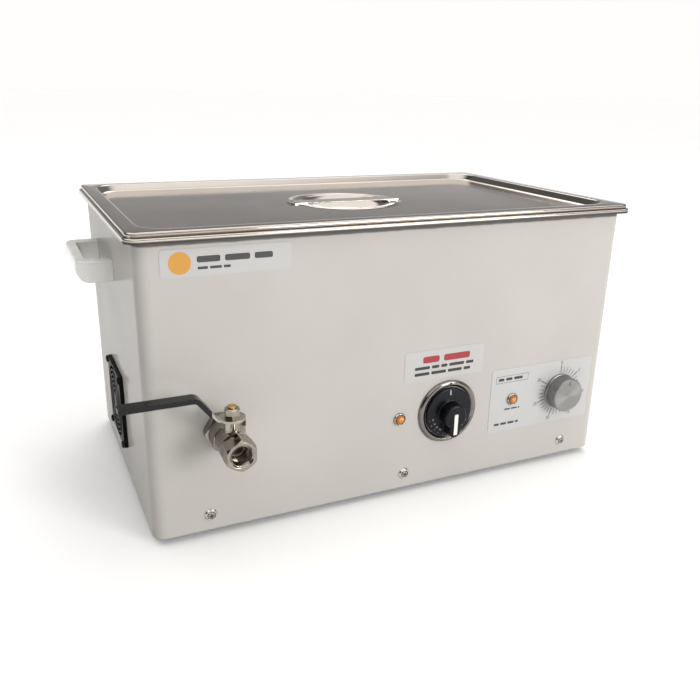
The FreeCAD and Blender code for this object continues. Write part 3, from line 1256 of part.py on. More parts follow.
def make_piezo_rings():
    rings = []
    for x, y in transducer_places():
        for layer in range(2):
            start = Vector(x, y, PIEZO_TOP - layer * PIEZO_THICKNESS)
            rings.append(ring(start, DOWN, PIEZO_RADIUS, PIEZO_BORE, PIEZO_THICKNESS))
    return group(rings)


def make_back_masses():
    masses = []
    bore = TRANSDUCER_BOLT_RADIUS + PIPE_FIT
    for x, y in transducer_places():
        masses.append(ring(Vector(x, y, BACK_MASS_TOP), DOWN, HORN_BOTTOM_RADIUS, bore, BACK_MASS_LENGTH))
    return group(masses)


def make_transducer_bolts():
    bolts = []
    shank = BACK_MASS_LENGTH + 2 * PIEZO_THICKNESS + BOLT_IN_HORN - 1.0
    for x, y in transducer_places():
        seat = Vector(x, y, BACK_MASS_END)
        head = rod(seat, DOWN, 8.0, 8.0).cut(hexagon(seat + DOWN * 3.0, DOWN, 8.0, 5.0))
        bolts.append(head.fuse(rod(seat, UP, TRANSDUCER_BOLT_RADIUS, shank)))
    return group(bolts)


def make_heater_pads():
    pads = []
    centre_z = (TANK_UNDERSIDE + CASE_TOP) / 2
    for end in (-1, 1):
        wall = end * TANK_OUTER_DEPTH / 2
        outer = wall + end * HEATER_THICKNESS
        pads.append(box(-HEATER_LENGTH / 2, HEATER_LENGTH / 2, min(wall, outer), max(wall, outer),
                        centre_z - HEATER_HEIGHT / 2, centre_z + HEATER_HEIGHT / 2))
    return group(pads)


BULB_Z = TANK_UNDERSIDE - BULB_RADIUS - BULB_GAP
BULB_X = -TRANSDUCER_PITCH_X / 2


def make_bulb_clips():
    clips = []
    for y in (-22.0, 22.0):
        outer = BULB_RADIUS + BULB_GAP + 0.8
        inner = BULB_RADIUS + BULB_GAP
        saddle = ring(Vector(BULB_X, y - 4, BULB_Z), TO_BACK, outer, inner, 8.0)
        flat = BULB_Z
        saddle = saddle.common(box(BULB_X - 10, BULB_X + 10, y - 5, y + 5, BULB_Z - 10, flat))
        for side in (-1, 1):
            near = BULB_X + side * inner
            far = BULB_X + side * outer
            wing = BULB_X + side * (outer + 8.0)
            saddle = saddle.fuse(box(min(near, far), max(near, far), y - 4, y + 4, flat, TANK_UNDERSIDE))
            ends = (min(far, wing), max(far, wing))
            saddle = saddle.fuse(box(*ends, y - 4, y + 4, TANK_UNDERSIDE - 0.8, TANK_UNDERSIDE))
        clips.append(saddle)
    return group(clips)


def make_sensor_bulb():
    rear = FRONT + CASE_SHEET + THERMOSTAT_DEEP
    outlet = Vector(THERMOSTAT_X - THERMOSTAT_WIDTH / 2 + 8.0, rear, CONTROL_Z + 8.0)
    bulb_end = Vector(BULB_X, -BULB_LENGTH / 2, BULB_Z)
    points = [outlet]
    points.append(outlet + Vector(0, 12.0, 0))
    points.append(Vector(BULB_X + 14.0, outlet.y + 12.0, outlet.z - 6.0))
    points.append(Vector(BULB_X, outlet.y + 20.0, BULB_Z - 16.0))
    points.append(Vector(BULB_X, bulb_end.y - 24.0, BULB_Z))
    points.append(bulb_end)
    bends = []
    for index in range(1, len(points) - 1):
        back = points[index - 1] - points[index]
        ahead = points[index + 1] - points[index]
        half = back.getAngle(ahead) / 2
        bends.append(0.45 * min(back.Length, ahead.Length) * math.tan(half))
    bulb = rod(bulb_end, TO_BACK, BULB_RADIUS, BULB_LENGTH)
    return bulb.fuse(bent_rod(points, bends, CAPILLARY_RADIUS))


# ---- electronics ----

BOARD_Z = TRAY_TOP + BOARD_STANDOFF
BOARD_TOP = BOARD_Z + BOARD_THICKNESS


def standoff_places():
    """Centres of the board's four standoffs."""
    x = BOARD_LENGTH / 2 - 6.0
    y = BOARD_DEPTH / 2 - 6.0
    return [(BOARD_X + side * x, BOARD_Y + end * y) for side in (-1, 1) for end in (-1, 1)]


def make_board_standoffs():
    posts = []
    neck = STANDOFF_HOLE - 0.1
    head = STANDOFF_HOLE + 0.8
    low = CASE_BOTTOM - 2.0
    high = BOARD_TOP + 2.4
    profile = [(0, low), (neck - 0.6, low), (head, CASE_BOTTOM - 0.1), (neck, CASE_BOTTOM - 0.1), (neck, TRAY_TOP)]
    profile += [(STANDOFF_RADIUS, TRAY_TOP), (STANDOFF_RADIUS, BOARD_Z), (neck, BOARD_Z), (neck, BOARD_TOP + 0.1)]
    profile += [(head, BOARD_TOP + 0.1), (neck - 0.6, high), (0, high)]
    for x, y in standoff_places():
        posts.append(turned(profile, Vector(x, y, 0), UP))
    return group(posts)


def make_generator_board():
    board = box(BOARD_X - BOARD_LENGTH / 2, BOARD_X + BOARD_LENGTH / 2,
                BOARD_Y - BOARD_DEPTH / 2, BOARD_Y + BOARD_DEPTH / 2, BOARD_Z, BOARD_TOP)
    for x, y in standoff_places():
        board = board.cut(rod(Vector(x, y, BOARD_Z), UP, STANDOFF_HOLE, BOARD_THICKNESS))
    return board


def make_heatsink():
    y0 = BOARD_Y + BOARD_DEPTH / 2 - 40.0
    x0 = BOARD_X - HEATSINK_LENGTH / 2
    sink = box(x0, x0 + HEATSINK_LENGTH, y0, y0 + 26.0, BOARD_TOP, BOARD_TOP + 4.0)
    pitch = (26.0 - 1.4) / (HEATSINK_FINS - 1)
    for fin in range(HEATSINK_FINS):
        y = y0 + fin * pitch
        sink = sink.fuse(box(x0, x0 + HEATSINK_LENGTH, y, y + 1.4, BOARD_TOP + 4.0, BOARD_TOP + HEATSINK_HEIGHT))
    return sink.removeSplitter()


def make_board_components():
    x = BOARD_X - BOARD_LENGTH / 4
    y = BOARD_Y - BOARD_DEPTH / 4
    half_x = CORE_LENGTH / 2
    half_y = CORE_DEPTH / 2
    core = box(x - half_x, x + half_x, y - 8, y + 8, BOARD_TOP, BOARD_TOP + CORE_HEIGHT)
    coil = box(x - half_x + 7, x + half_x - 7, y - half_y, y + half_y, BOARD_TOP + 6, BOARD_TOP + CORE_HEIGHT - 6)
    parts = [core.fuse(coil.makeFillet(4.0, edges_along(coil, UP)))]
    for step in range(3):
        can_x = BOARD_X + 24.0 + step * (2 * CAPACITOR_RADIUS + 4.0)
        can = rod(Vector(can_x, y, BOARD_TOP), UP, CAPACITOR_RADIUS, CAPACITOR_HEIGHT)
        parts.append(can.makeFillet(1.2, edges_at(can, BOARD_TOP + CAPACITOR_HEIGHT)))
    return group(parts)


# ---- mains inlet ----

SOCKET_Z = INLET_Z + 8.5
DRAWER_Z = INLET_Z - 13.5
INLET_FACE = REAR + INLET_PLATE_THICKNESS


def make_inlet_housing():
    half_plate = INLET_PLATE_WIDTH / 2
    half_width = INLET_WIDTH / 2
    half_tall = INLET_TALL / 2
    plate = box(INLET_X - half_plate, INLET_X + half_plate, REAR, INLET_FACE, INLET_Z - 11.0, INLET_Z + 11.0)
    plate = plate.makeFillet(4.0, edges_along(plate, TO_BACK))
    front = box(INLET_X - half_width - 1.2, INLET_X + half_width + 1.2, REAR, INLET_FACE,
                INLET_Z - half_tall - 1.2, INLET_Z + half_tall + 1.2)
    front = front.makeFillet(2.0, edges_along(front, TO_BACK))
    barrel = box(INLET_X - half_width, INLET_X + half_width, REAR - INLET_DEEP, REAR,
                 INLET_Z - half_tall, INLET_Z + half_tall)
    housing = plate.fuse(front).fuse(barrel)
    socket = box(INLET_X - SOCKET_WIDTH / 2, INLET_X + SOCKET_WIDTH / 2, INLET_FACE - SOCKET_DEEP, INLET_FACE,
                 SOCKET_Z - SOCKET_TALL / 2, SOCKET_Z + SOCKET_TALL / 2)
    upper = [edge for edge in edges_along(socket, TO_BACK) if edge.CenterOfMass.z > SOCKET_Z]
    housing = housing.cut(socket.makeChamfer(4.0, upper))
    pocket_width = DRAWER_WIDTH / 2 + DRAWER_FIT
    pocket_tall = DRAWER_TALL / 2 + DRAWER_FIT
    housing = housing.cut(box(INLET_X - pocket_width, INLET_X + pocket_width, INLET_FACE - DRAWER_DEEP - 1.0,
                              INLET_FACE, DRAWER_Z - pocket_tall, DRAWER_Z + pocket_tall))
    for side in (-1, 1):
        start = Vector(INLET_X + side * INLET_SCREW_PITCH / 2, INLET_FACE, INLET_Z)
        housing = housing.cut(rod(start, TO_FRONT, INLET_SCREW_RADIUS + HOLE_CLEARANCE, INLET_PLATE_THICKNESS))
    for x, z in inlet_pin_places():
        hole = box(x - 1.0, x + 1.0, REAR - INLET_DEEP, INLET_FACE, z - 2.0, z + 2.0)
        housing = housing.cut(hole)
    return housing


def inlet_pin_places():
    """Centres of the three contact pins."""
    return [(INLET_X - 7.0, SOCKET_Z - 2.0), (INLET_X, SOCKET_Z + 2.0), (INLET_X + 7.0, SOCKET_Z - 2.0)]


def make_inlet_pins():
    pins = []
    for x, z in inlet_pin_places():
        pins.append(box(x - 1.0, x + 1.0, REAR - INLET_DEEP - 8.0, INLET_FACE - 3.0, z - 2.0, z + 2.0))
    return group(pins)


def make_fuse_drawer():
    half_width = DRAWER_WIDTH / 2
    half_tall = DRAWER_TALL / 2
    drawer = box(INLET_X - half_width, INLET_X + half_width, INLET_FACE - DRAWER_DEEP, INLET_FACE + 0.6,
                 DRAWER_Z - half_tall, DRAWER_Z + half_tall)
    cell = box(INLET_X - half_width + 1.0, INLET_X + half_width - 1.0, INLET_FACE - DRAWER_DEEP + 4.0,
               INLET_FACE - 3.0, DRAWER_Z - half_tall + 1.2, DRAWER_Z + half_tall)
    notch = box(INLET_X - 4.0, INLET_X + 4.0, INLET_FACE - 0.6, INLET_FACE + 0.6,
                DRAWER_Z - half_tall, DRAWER_Z - half_tall + 2.0)
    return drawer.cut(cell).cut(notch)


def make_inlet_screws():
    screws = []
    for side in (-1, 1):
        seat = Vector(INLET_X + side * INLET_SCREW_PITCH / 2, INLET_FACE, INLET_Z)
        screws.append(pan_screw(seat, TO_BACK, INLET_SCREW_RADIUS, 2.8, 1.8, 9.0))
    return group(screws)


NODES = {
    "case_shell": make_case_shell,
    "base_tray": make_base_tray,
    "short_screws": make_short_screws,
    "cup_washers": make_cup_washers,
    "small_nuts": make_small_nuts,
    "rubber_feet": make_rubber_feet,
    "tank": make_tank,
    "rim_gasket": make_rim_gasket,
    "lid": make_lid,
    "lid_handle_strap": make_lid_handle_strap,
    "handle_left": make_left_handle,
    "handle_right": make_right_handle,
    "handle_screws": make_handle_screws,
    "fan_guard": make_fan_guard,
    "fan_screws": make_fan_screws,
    "fan_frame": make_fan_frame,
    "fan_rotor": make_fan_rotor,
    "drain_fitting": make_drain_fitting,
    "drain_gasket": make_drain_gasket,
    "drain_nut": make_drain_nut,
    "drain_elbow": make_drain_elbow,
    "drain_pipe": make_drain_pipe,
    "drain_wall_nut": make_wall_nut,
    "drain_lock_nut": make_lock_nut,
    "valve_body": make_valve_body,
    "valve_end_cap": make_valve_end_cap,
    "valve_seats": make_valve_seats,
    "valve_ball": make_valve_ball,
    "valve_stem": make_valve_stem,
    "valve_lever": make_lever,
    "lever_sleeve": make_lever_sleeve,
    "lever_nut": make_lever_nut,
    "thermostat_bezel": make_thermostat_bezel,
    "thermostat_knob": make_thermostat_knob,
    "knob_pointer": make_knob_pointer,
    "thermostat_shaft": make_thermostat_shaft,
    "thermostat_body": make_thermostat_body,
    "sensor_bulb": make_sensor_bulb,
    "bulb_clips": make_bulb_clips,
    "timer_knob": make_timer_knob,
    "timer_shaft": make_timer_shaft,
    "timer_body": make_timer_body,
    "lamp_bezels": make_lamp_bezels,
    "lamp_lenses": make_lamp_lenses,
    "lamp_bodies": make_lamp_bodies,
    "front_labels": make_front_labels,
    "control_panel": make_control_panel,
    "transducer_horns": make_transducer_horns,
    "piezo_rings": make_piezo_rings,
    "back_masses": make_back_masses,
    "transducer_bolts": make_transducer_bolts,
    "heater_pads": make_heater_pads,
    "generator_board": make_generator_board,
    "board_standoffs": make_board_standoffs,
    "heatsink": make_heatsink,
    "board_components": make_board_components,
    "inlet_housing": make_inlet_housing,
    "inlet_pins": make_inlet_pins,
    "inlet_screws": make_inlet_screws,
    "fuse_drawer": make_fuse_drawer,
}

os.makedirs("parts", exist_ok=True)
for name, make in NODES.items():
    shape = make()
    volume = round(shape.Volume)
    print(name, "solids", len(shape.Solids), "volume", volume, "valid", shape.isValid())
    shape.exportStep("parts/" + name + ".step")
print(len(NODES), "nodes")
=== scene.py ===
"""Looks of the bench-top ultrasonic cleaner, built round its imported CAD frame.

Lengths in the classes are millimetres unless a name says otherwise. Blender's own units are metres.
"""

import json
import logging
import math
import random
from dataclasses import dataclass, field
from enum import Enum
from typing import Iterable, Sequence

import bmesh
import bpy
from mathutils import Matrix, Vector


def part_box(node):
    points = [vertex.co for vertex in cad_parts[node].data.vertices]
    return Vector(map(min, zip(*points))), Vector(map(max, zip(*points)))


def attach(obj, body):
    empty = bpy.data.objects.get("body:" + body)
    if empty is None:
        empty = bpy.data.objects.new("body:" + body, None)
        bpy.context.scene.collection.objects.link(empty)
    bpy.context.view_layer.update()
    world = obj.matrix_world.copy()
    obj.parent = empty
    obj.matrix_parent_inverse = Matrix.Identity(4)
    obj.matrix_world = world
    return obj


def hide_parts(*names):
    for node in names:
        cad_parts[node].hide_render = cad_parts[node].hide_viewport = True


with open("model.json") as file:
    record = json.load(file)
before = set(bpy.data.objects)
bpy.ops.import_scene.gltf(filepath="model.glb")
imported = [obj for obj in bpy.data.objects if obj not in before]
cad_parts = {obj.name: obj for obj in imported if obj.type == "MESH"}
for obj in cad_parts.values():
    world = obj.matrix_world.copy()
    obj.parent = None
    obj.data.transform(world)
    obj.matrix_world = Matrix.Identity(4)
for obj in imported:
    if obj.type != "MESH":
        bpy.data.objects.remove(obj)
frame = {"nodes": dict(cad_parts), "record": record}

for leftover in ("Cube", "Light", "Camera"):
    if leftover in bpy.data.objects:
        bpy.data.objects.remove(bpy.data.objects[leftover])

LOG = logging.getLogger("cleaner")
MM = 0.001
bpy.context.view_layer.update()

Colour = tuple[float, float, float]
Flat = tuple[float, float]


def tone(red: int, green: int, blue: int) -> Colour:
    """Return a linear colour from its three display values, 0 to 255.

    Args:
        red: Red as displayed.
        green: Green as displayed.
        blue: Blue as displayed.

    Returns:
        The linear colour that a shader socket takes.
    """
    def linear(value: int) -> float:
        """Return one channel without its display curve."""
        share = value / 255.0
        return share / 12.92 if share <= 0.04045 else ((share + 0.055) / 1.055) ** 2.4

    return (linear(red), linear(green), linear(blue))


def shade(colour: Colour, factor: float) -> Colour:
    """Return a colour made lighter or darker by a factor."""
    return tuple(min(1.0, channel * factor) for channel in colour)


def dusted(colour: Colour, share: float, lift: float) -> Colour:
    """Return a colour scaled by a share and lifted, as dust or wear pales it."""
    return tuple(channel * share + lift for channel in colour)


class Body(Enum):
    """CAD bodies that the pieces ride on."""

    BASE = "cleaner_base"
    LID = "lid_body"
    VALVE = "valve_handle"
    THERMOSTAT = "thermostat_control"
    TIMER = "timer_control"
    FAN = "fan_spinner"
    FUSE = "fuse_slide"


class Lay(Enum):
    """Direction that a brushed or rolled grain runs in, as the stretch of its noise along X, Y and Z."""

    ALONG_X = (0.012, 1.0, 1.0)
    ALONG_Y = (1.0, 0.012, 1.0)
    ALONG_Z = (1.0, 1.0, 0.012)
    NONE = (1.0, 1.0, 1.0)


# ---- finishes ----


class Recipe:
    """Node tree of one finish, with the few patterns that every finish draws on."""

    def __init__(self, name: str) -> None:
        """Start an empty tree with a Principled shader on its output.

        Args:
            name: Name of the material.
        """
        self.material = bpy.data.materials.new(name)
        self.material.use_nodes = True
        self.tree = self.material.node_tree
        self.tree.nodes.clear()
        self.shader = self.add("ShaderNodeBsdfPrincipled")
        output = self.add("ShaderNodeOutputMaterial")
        self.tree.links.new(self.shader.outputs["BSDF"], output.inputs["Surface"])
        self.place = self.add("ShaderNodeTexCoord").outputs["Object"]

    def add(self, kind: str, **settings: object) -> bpy.types.Node:
        """Add a node.

        Args:
            kind: Blender's name for the node type.
            **settings: Attributes to set on it.

        Returns:
            The new node.
        """
        node = self.tree.nodes.new(kind)
        for key, value in settings.items():
            setattr(node, key, value)
        return node

    def feed(self, socket: bpy.types.NodeSocket, value: object) -> None:
        """Link or set one input.

        Args:
            socket: Input to fill.
            value: A socket to link, a number, a vector or a colour.
        """
        if isinstance(value, bpy.types.NodeSocket):
            self.tree.links.new(value, socket)
        elif socket.type == "RGBA":
            socket.default_value = (*value[:3], 1.0)
        else:
            socket.default_value = value

    def put(self, **values: object) -> None:
        """Fill inputs of the Principled shader, each named with underscores for spaces."""
        for key, value in values.items():
            name = key.replace("_", " ").title().replace("Ior", "IOR")
            self.feed(self.shader.inputs[name], value)

    def sized(self, size: float, lay: Lay = Lay.NONE) -> bpy.types.NodeSocket:
        """Return object coordinates scaled so that one unit is a given length.

        Args:
            size: Length of one unit across the grain.
            lay: Direction of the grain.

        Returns:
            The scaled coordinates.
        """
        mapping = self.add("ShaderNodeMapping")
        self.feed(mapping.inputs["Vector"], self.place)
        mapping.inputs["Scale"].default_value = [stretch / (size * MM) for stretch in lay.value]
        return mapping.outputs["Vector"]

    def noise(self, size: float, lay: Lay = Lay.NONE, detail: float = 3.0, twist: float = 0.0) -> bpy.types.NodeSocket:
        """Return cloudy noise of one feature size.

        Args:
            size: Feature size across the grain.
            lay: Direction of the grain.
            detail: Octaves of finer noise.
            twist: Distortion of the clouds.

        Returns:
            A factor from 0 to 1.
        """
        node = self.add("ShaderNodeTexNoise")
        self.feed(node.inputs["Vector"], self.sized(size, lay))
        node.inputs["Scale"].default_value = 1.0
        node.inputs["Detail"].default_value = detail
        node.inputs["Distortion"].default_value = twist
        return node.outputs["Fac"]

    def cells(self, size: float, output: str = "Distance", feature: str = "F1") -> bpy.types.NodeSocket:
        """Return a cell pattern of one feature size.

        Args:
            size: Size of one cell.
            output: Which of the node's outputs to read.
            feature: Blender's name for the cell feature.

        Returns:
            The pattern.
        """
        node = self.add("ShaderNodeTexVoronoi", feature=feature)
        self.feed(node.inputs["Vector"], self.sized(size))
        node.inputs["Scale"].default_value = 1.0
        return node.outputs[output]

    def maths(self, operation: str, first: object, second: object = 0.0) -> bpy.types.NodeSocket:
        """Return the result of one sum.

        Args:
            operation: Blender's name for the operation.
            first: First number or socket.
            second: Second number or socket.

        Returns:
            The result.
        """
        node = self.add("ShaderNodeMath", operation=operation)
        self.feed(node.inputs[0], first)
        self.feed(node.inputs[1], second)
        return node.outputs[0]

    def spread(self, value: object, low: float, high: float, out_low: float, out_high: float) -> bpy.types.NodeSocket:
        """Return a factor moved from one range to another and kept inside it.

        Args:
            value: Factor to move.
            low: Where the first range starts.
            high: Where the first range ends.
            out_low: Result at the start.
            out_high: Result at the end.

        Returns:
            The moved factor.
        """
        node = self.add("ShaderNodeMapRange")
        numbers = {"Value": value, "From Min": low, "From Max": high, "To Min": out_low, "To Max": out_high}
        for name, number in numbers.items():
            self.feed(node.inputs[name], number)
        return node.outputs["Result"]

    def blend(self, factor: object, first: object, second: object) -> bpy.types.NodeSocket:
        """Return a mix of two colours.

        Args:
            factor: Share of the second colour.
            first: First colour.
            second: Second colour.

        Returns:
            The mixed colour.
        """
        node = self.add("ShaderNodeMix", data_type="RGBA")
        self.feed(node.inputs[0], factor)
        self.feed(node.inputs[6], first)
        self.feed(node.inputs[7], second)
        return node.outputs[2]

    def grade(self, pattern: object, colour: Colour, low: float, high: float, start: float = 0.3,
              end: float = 0.7) -> bpy.types.NodeSocket:
        """Return a colour that runs between two of its shades with a pattern.

        Args:
            pattern: Factor that decides the shade.
            colour: Colour in the middle.
            low: Factor of the darker shade.
            high: Factor of the lighter shade.
            start: Pattern value of the darker shade.
            end: Pattern value of the lighter shade.

        Returns:
            The graded colour.
        """
        return self.blend(self.spread(pattern, start, end, 0.0, 1.0), shade(colour, low), shade(colour, high))

    def rub(self, body: object, radius: float, strength: float, bare: Colour) -> bpy.types.NodeSocket:
        """Return a colour whose edges are worn to a barer one.

        Args:
            body: Colour of the faces.
            radius: Width of the worn band.
            strength: Share of the barer colour where the wear is full.
            bare: The barer colour.

        Returns:
            The mixed colour.
        """
        return self.blend(self.maths("MULTIPLY", self.worn_edges(radius), strength), body, bare)

    def axes(self) -> bpy.types.NodeOutputs:
        """Return the place on the object.

        Returns:
            The X, Y and Z in metres, by name.
        """
        parts = self.add("ShaderNodeSeparateXYZ")
        self.feed(parts.inputs[0], self.place)
        return parts.outputs

    def from_axis(self) -> bpy.types.NodeSocket:
        """Return the distance from the piece's own Y axis.

        Returns:
            The distance in metres.
        """
        axes = self.axes()
        across = self.maths("MULTIPLY", axes["X"], axes["X"])
        upward = self.maths("MULTIPLY", axes["Z"], axes["Z"])
        return self.maths("SQRT", self.maths("ADD", across, upward))

    def level(self, patches: bpy.types.NodeSocket, wander: float) -> bpy.types.NodeSocket:
        """Return the height up the piece, made ragged by a pattern.

        Args:
            patches: Pattern that moves it.
            wander: Most it moves up or down, in millimetres.

        Returns:
            The ragged height in metres.
        """
        return self.maths("ADD", self.axes()["Z"], self.spread(patches, 0.3, 0.7, -wander * MM, wander * MM))

    def outside(self, reach: Flat, fade: float = 1.0) -> bpy.types.NodeSocket:
        """Return where the piece lies outside a rectangle about its middle.

        Args:
            reach: Half the rectangle's length and width, in millimetres.
            fade: Width of the step at its sides.

        Returns:
            A factor that is 0 inside and 1 outside.
        """
        sides = []
        for axis, limit in zip("XY", reach):
            size = self.maths("ABSOLUTE", self.axes()[axis])
            sides.append(self.spread(size, (limit - fade) * MM, limit * MM, 0.0, 1.0))
        return self.maths("MAXIMUM", *sides)

    def softened(self, radius: float) -> bpy.types.NodeSocket:
        """Return the normal of edges rounded by a radius.

        Args:
            radius: Radius in millimetres.

        Returns:
            The softened normal.
        """
        node = self.add("ShaderNodeBevel", samples=4)
        node.inputs["Radius"].default_value = radius * MM
        return node.outputs["Normal"]

    def worn_edges(self, radius: float, reach: float = 0.12) -> bpy.types.NodeSocket:
        """Return where handling has worn the edges.

        Args:
            radius: Width of the worn band.
            reach: How far the normal must turn to count as fully worn.

        Returns:
            A factor that is 0 on faces and 1 on edges, broken up by noise.
        """
        turn = self.add("ShaderNodeVectorMath", operation="DOT_PRODUCT")
        self.feed(turn.inputs[0], self.softened(radius))
        self.feed(turn.inputs[1], self.add("ShaderNodeNewGeometry").outputs["Normal"])
        mask = self.spread(turn.outputs["Value"], 1.0 - reach, 1.0, 1.0, 0.0)
        return self.maths("MULTIPLY", mask, self.spread(self.noise(3.0), 0.35, 0.65, 0.25, 1.0))

    def relief(self, height: object, depth: float, radius: float = 0.0, under: object = None) -> bpy.types.NodeSocket:
        """Return a normal with relief and softened edges.

        Args:
            height: Pattern of the relief.
            depth: Full depth of the relief.
            radius: Radius that edges are softened by, or 0 for none.
            under: Normal that the relief lies on.

        Returns:
            The normal.
        """
        node = self.add("ShaderNodeBump")
        node.inputs["Strength"].default_value = 1.0
        node.inputs["Distance"].default_value = depth * MM
        self.feed(node.inputs["Height"], height)
        if under is not None:
            self.feed(node.inputs["Normal"], under)
        elif radius > 0:
            self.feed(node.inputs["Normal"], self.softened(radius))
        return node.outputs["Normal"]


MIXED: dict[str, bpy.types.Material] = {}


@dataclass(frozen=True)
class Finish:
    """A finish that several pieces may share."""

    name: str
    colour: Colour

    def material(self) -> bpy.types.Material:
        """Return the finish's material, mixed the first time it is asked for.

        Returns:
            The material that every piece of this finish shares.
        """
        known = MIXED.get(self.name)
        if known is not None:
            return known
        recipe = Recipe("finish_" + self.name)
        MIXED[self.name] = recipe.material
        self.mix(recipe)
        recipe.material.diffuse_color = (*self.colour, 1.0)
        return recipe.material

    def mix(self, recipe: Recipe) -> None:
        """Draw the finish into a recipe.

        Args:
            recipe: Node tree to draw into.
        """
        raise NotImplementedError


@dataclass(frozen=True)
class PowderCoat(Finish):
    """Gloss powder coat: slight orange peel, faint scuffs, thin spots on the folds, and where set a painted shadow band
    under the tank rim.
    """

    gloss: float = 0.27
    peel: float = 0.010
    # Heights in millimetres between which the painted shadow under the tank rim fades in.
    grime: Flat = (0.0, 0.0)

    def mix(self, recipe: Recipe) -> None:
        """Draw the coat into a recipe.

        Args:
            recipe: Node tree to draw into.
        """
        clouds = recipe.noise(90.0, detail=4.0)
        body = recipe.grade(clouds, self.colour, 0.965, 1.02)
        specks = recipe.spread(recipe.noise(2.2, detail=2.0), 0.70, 0.78, 0.0, 0.06)
        body = recipe.blend(specks, body, shade(self.colour, 0.72))
        body = recipe.rub(body, 0.9, 0.35, shade(self.colour, 0.82))
        # Painted shadow: a near-black band at the top of the case front, where the tank rim shades it.
        if self.grime[1] > self.grime[0]:
            ragged = recipe.level(recipe.noise(14.0), 0.3)
            film = recipe.spread(ragged, self.grime[0] * MM, self.grime[1] * MM, 0.0, 0.85)
            body = recipe.blend(film, body, shade(self.colour, 0.12))
        scuffs = recipe.spread(recipe.noise(1.6, Lay.ALONG_X, detail=5.0), 0.58, 0.72, 0.0, 0.12)
        rough = recipe.maths("ADD", recipe.spread(clouds, 0.3, 0.7, 0.30, 0.40), scuffs)
        fine = recipe.maths("MULTIPLY", recipe.noise(0.7, detail=1.0), 0.25)
        peel = recipe.maths("ADD", recipe.noise(2.6, detail=2.0), fine)
        recipe.put(base_color=body, roughness=rough, normal=recipe.relief(peel, self.peel, 0.8))
        recipe.put(specular_ior_level=0.03, coat_weight=self.gloss, coat_roughness=0.03, coat_ior=1.45)


@dataclass(frozen=True)
class RolledSteel(Finish):
    """Bright sheet or drawn steel with rolling streaks, hair scratches, handling smears and, where set, a painted shade
    band low on an outer lip.
    """

    lay: Lay = Lay.ALONG_X
    rough: float = 0.2
    streak: float = 0.06
    edge: float = 0.5
    # Painted shade band on an outer lip: heights it fades over, its tone, and the rectangle outside which it lies.
    soot: Flat = (0.0, 0.0)
    soot_tone: Colour = (0.05, 0.042, 0.035)
    soot_outside: Flat = (1.0, 1.0)

    def mix(self, recipe: Recipe) -> None:
        """Draw the steel into a recipe, with any painted shade band that darkens the lower part of an outer lip.

        Args:
            recipe: Node tree to draw into.
        """
        streaks = recipe.noise(1.4, self.lay, detail=6.0)
        clouds = recipe.noise(70.0, detail=3.0, twist=0.4)
        body = recipe.grade(streaks, self.colour, 1.0 - self.streak, 1.0 + self.streak)
        smear = recipe.maths("MULTIPLY", recipe.spread(clouds, 0.45, 0.7, 0.0, 1.0), 0.10)
        body = recipe.blend(smear, body, shade(self.colour, 0.80))
        body = recipe.rub(body, self.edge, 0.5, shade(self.colour, 1.3))
        # Painted shade: darker towards the bottom of the outer lip, in place of the shadow and dark reflection there.
        if self.soot[1] > self.soot[0]:
            ragged = recipe.level(recipe.noise(9.0, self.lay), 0.4)
            film = recipe.spread(ragged, self.soot[0] * MM, self.soot[1] * MM, 0.9, 0.0)
            film = recipe.maths("MULTIPLY", film, recipe.outside(self.soot_outside))
            body = recipe.blend(film, body, self.soot_tone)
        scratches = recipe.spread(recipe.noise(0.35, self.lay, detail=8.0), 0.60, 0.66, 0.0, 0.07)
        rough = recipe.maths("ADD", recipe.spread(clouds, 0.3, 0.7, self.rough * 0.85, self.rough * 1.2), scratches)
        height = recipe.maths("ADD", streaks, recipe.maths("MULTIPLY", recipe.noise(0.35, self.lay, detail=8.0), 0.4))
        recipe.put(base_color=body, metallic=1.0, roughness=rough, normal=recipe.relief(height, 0.0035, self.edge))


@dataclass(frozen=True)
class PlatedMetal(Finish):
    """Plating or bare metal over a cast or turned blank, with a soft grain and rubbed edges."""

    rough: float = 0.2
    rubbed: Colour = (0.9, 0.87, 0.8)
    grain: float = 0.6
    depth: float = 0.006
    edge: float = 0.35

    def mix(self, recipe: Recipe) -> None:
        """Draw the metal into a recipe.

        Args:
            recipe: Node tree to draw into.
        """
        clouds = recipe.noise(7.0, detail=5.0, twist=0.6)
        grain = recipe.noise(self.grain, detail=3.0)
        body = recipe.grade(clouds, self.colour, 0.86, 1.06, 0.3, 0.72)
        pits = recipe.spread(recipe.cells(1.1), 0.0, 0.10, 0.30, 0.0)
        body = recipe.blend(pits, body, shade(self.colour, 0.45))
        body = recipe.rub(body, self.edge, 0.6, self.rubbed)
        rough = recipe.maths("ADD", recipe.spread(clouds, 0.3, 0.7, self.rough * 0.8, self.rough * 1.25), pits)
        recipe.put(base_color=body, metallic=1.0, roughness=rough, normal=recipe.relief(grain, self.depth, self.edge))


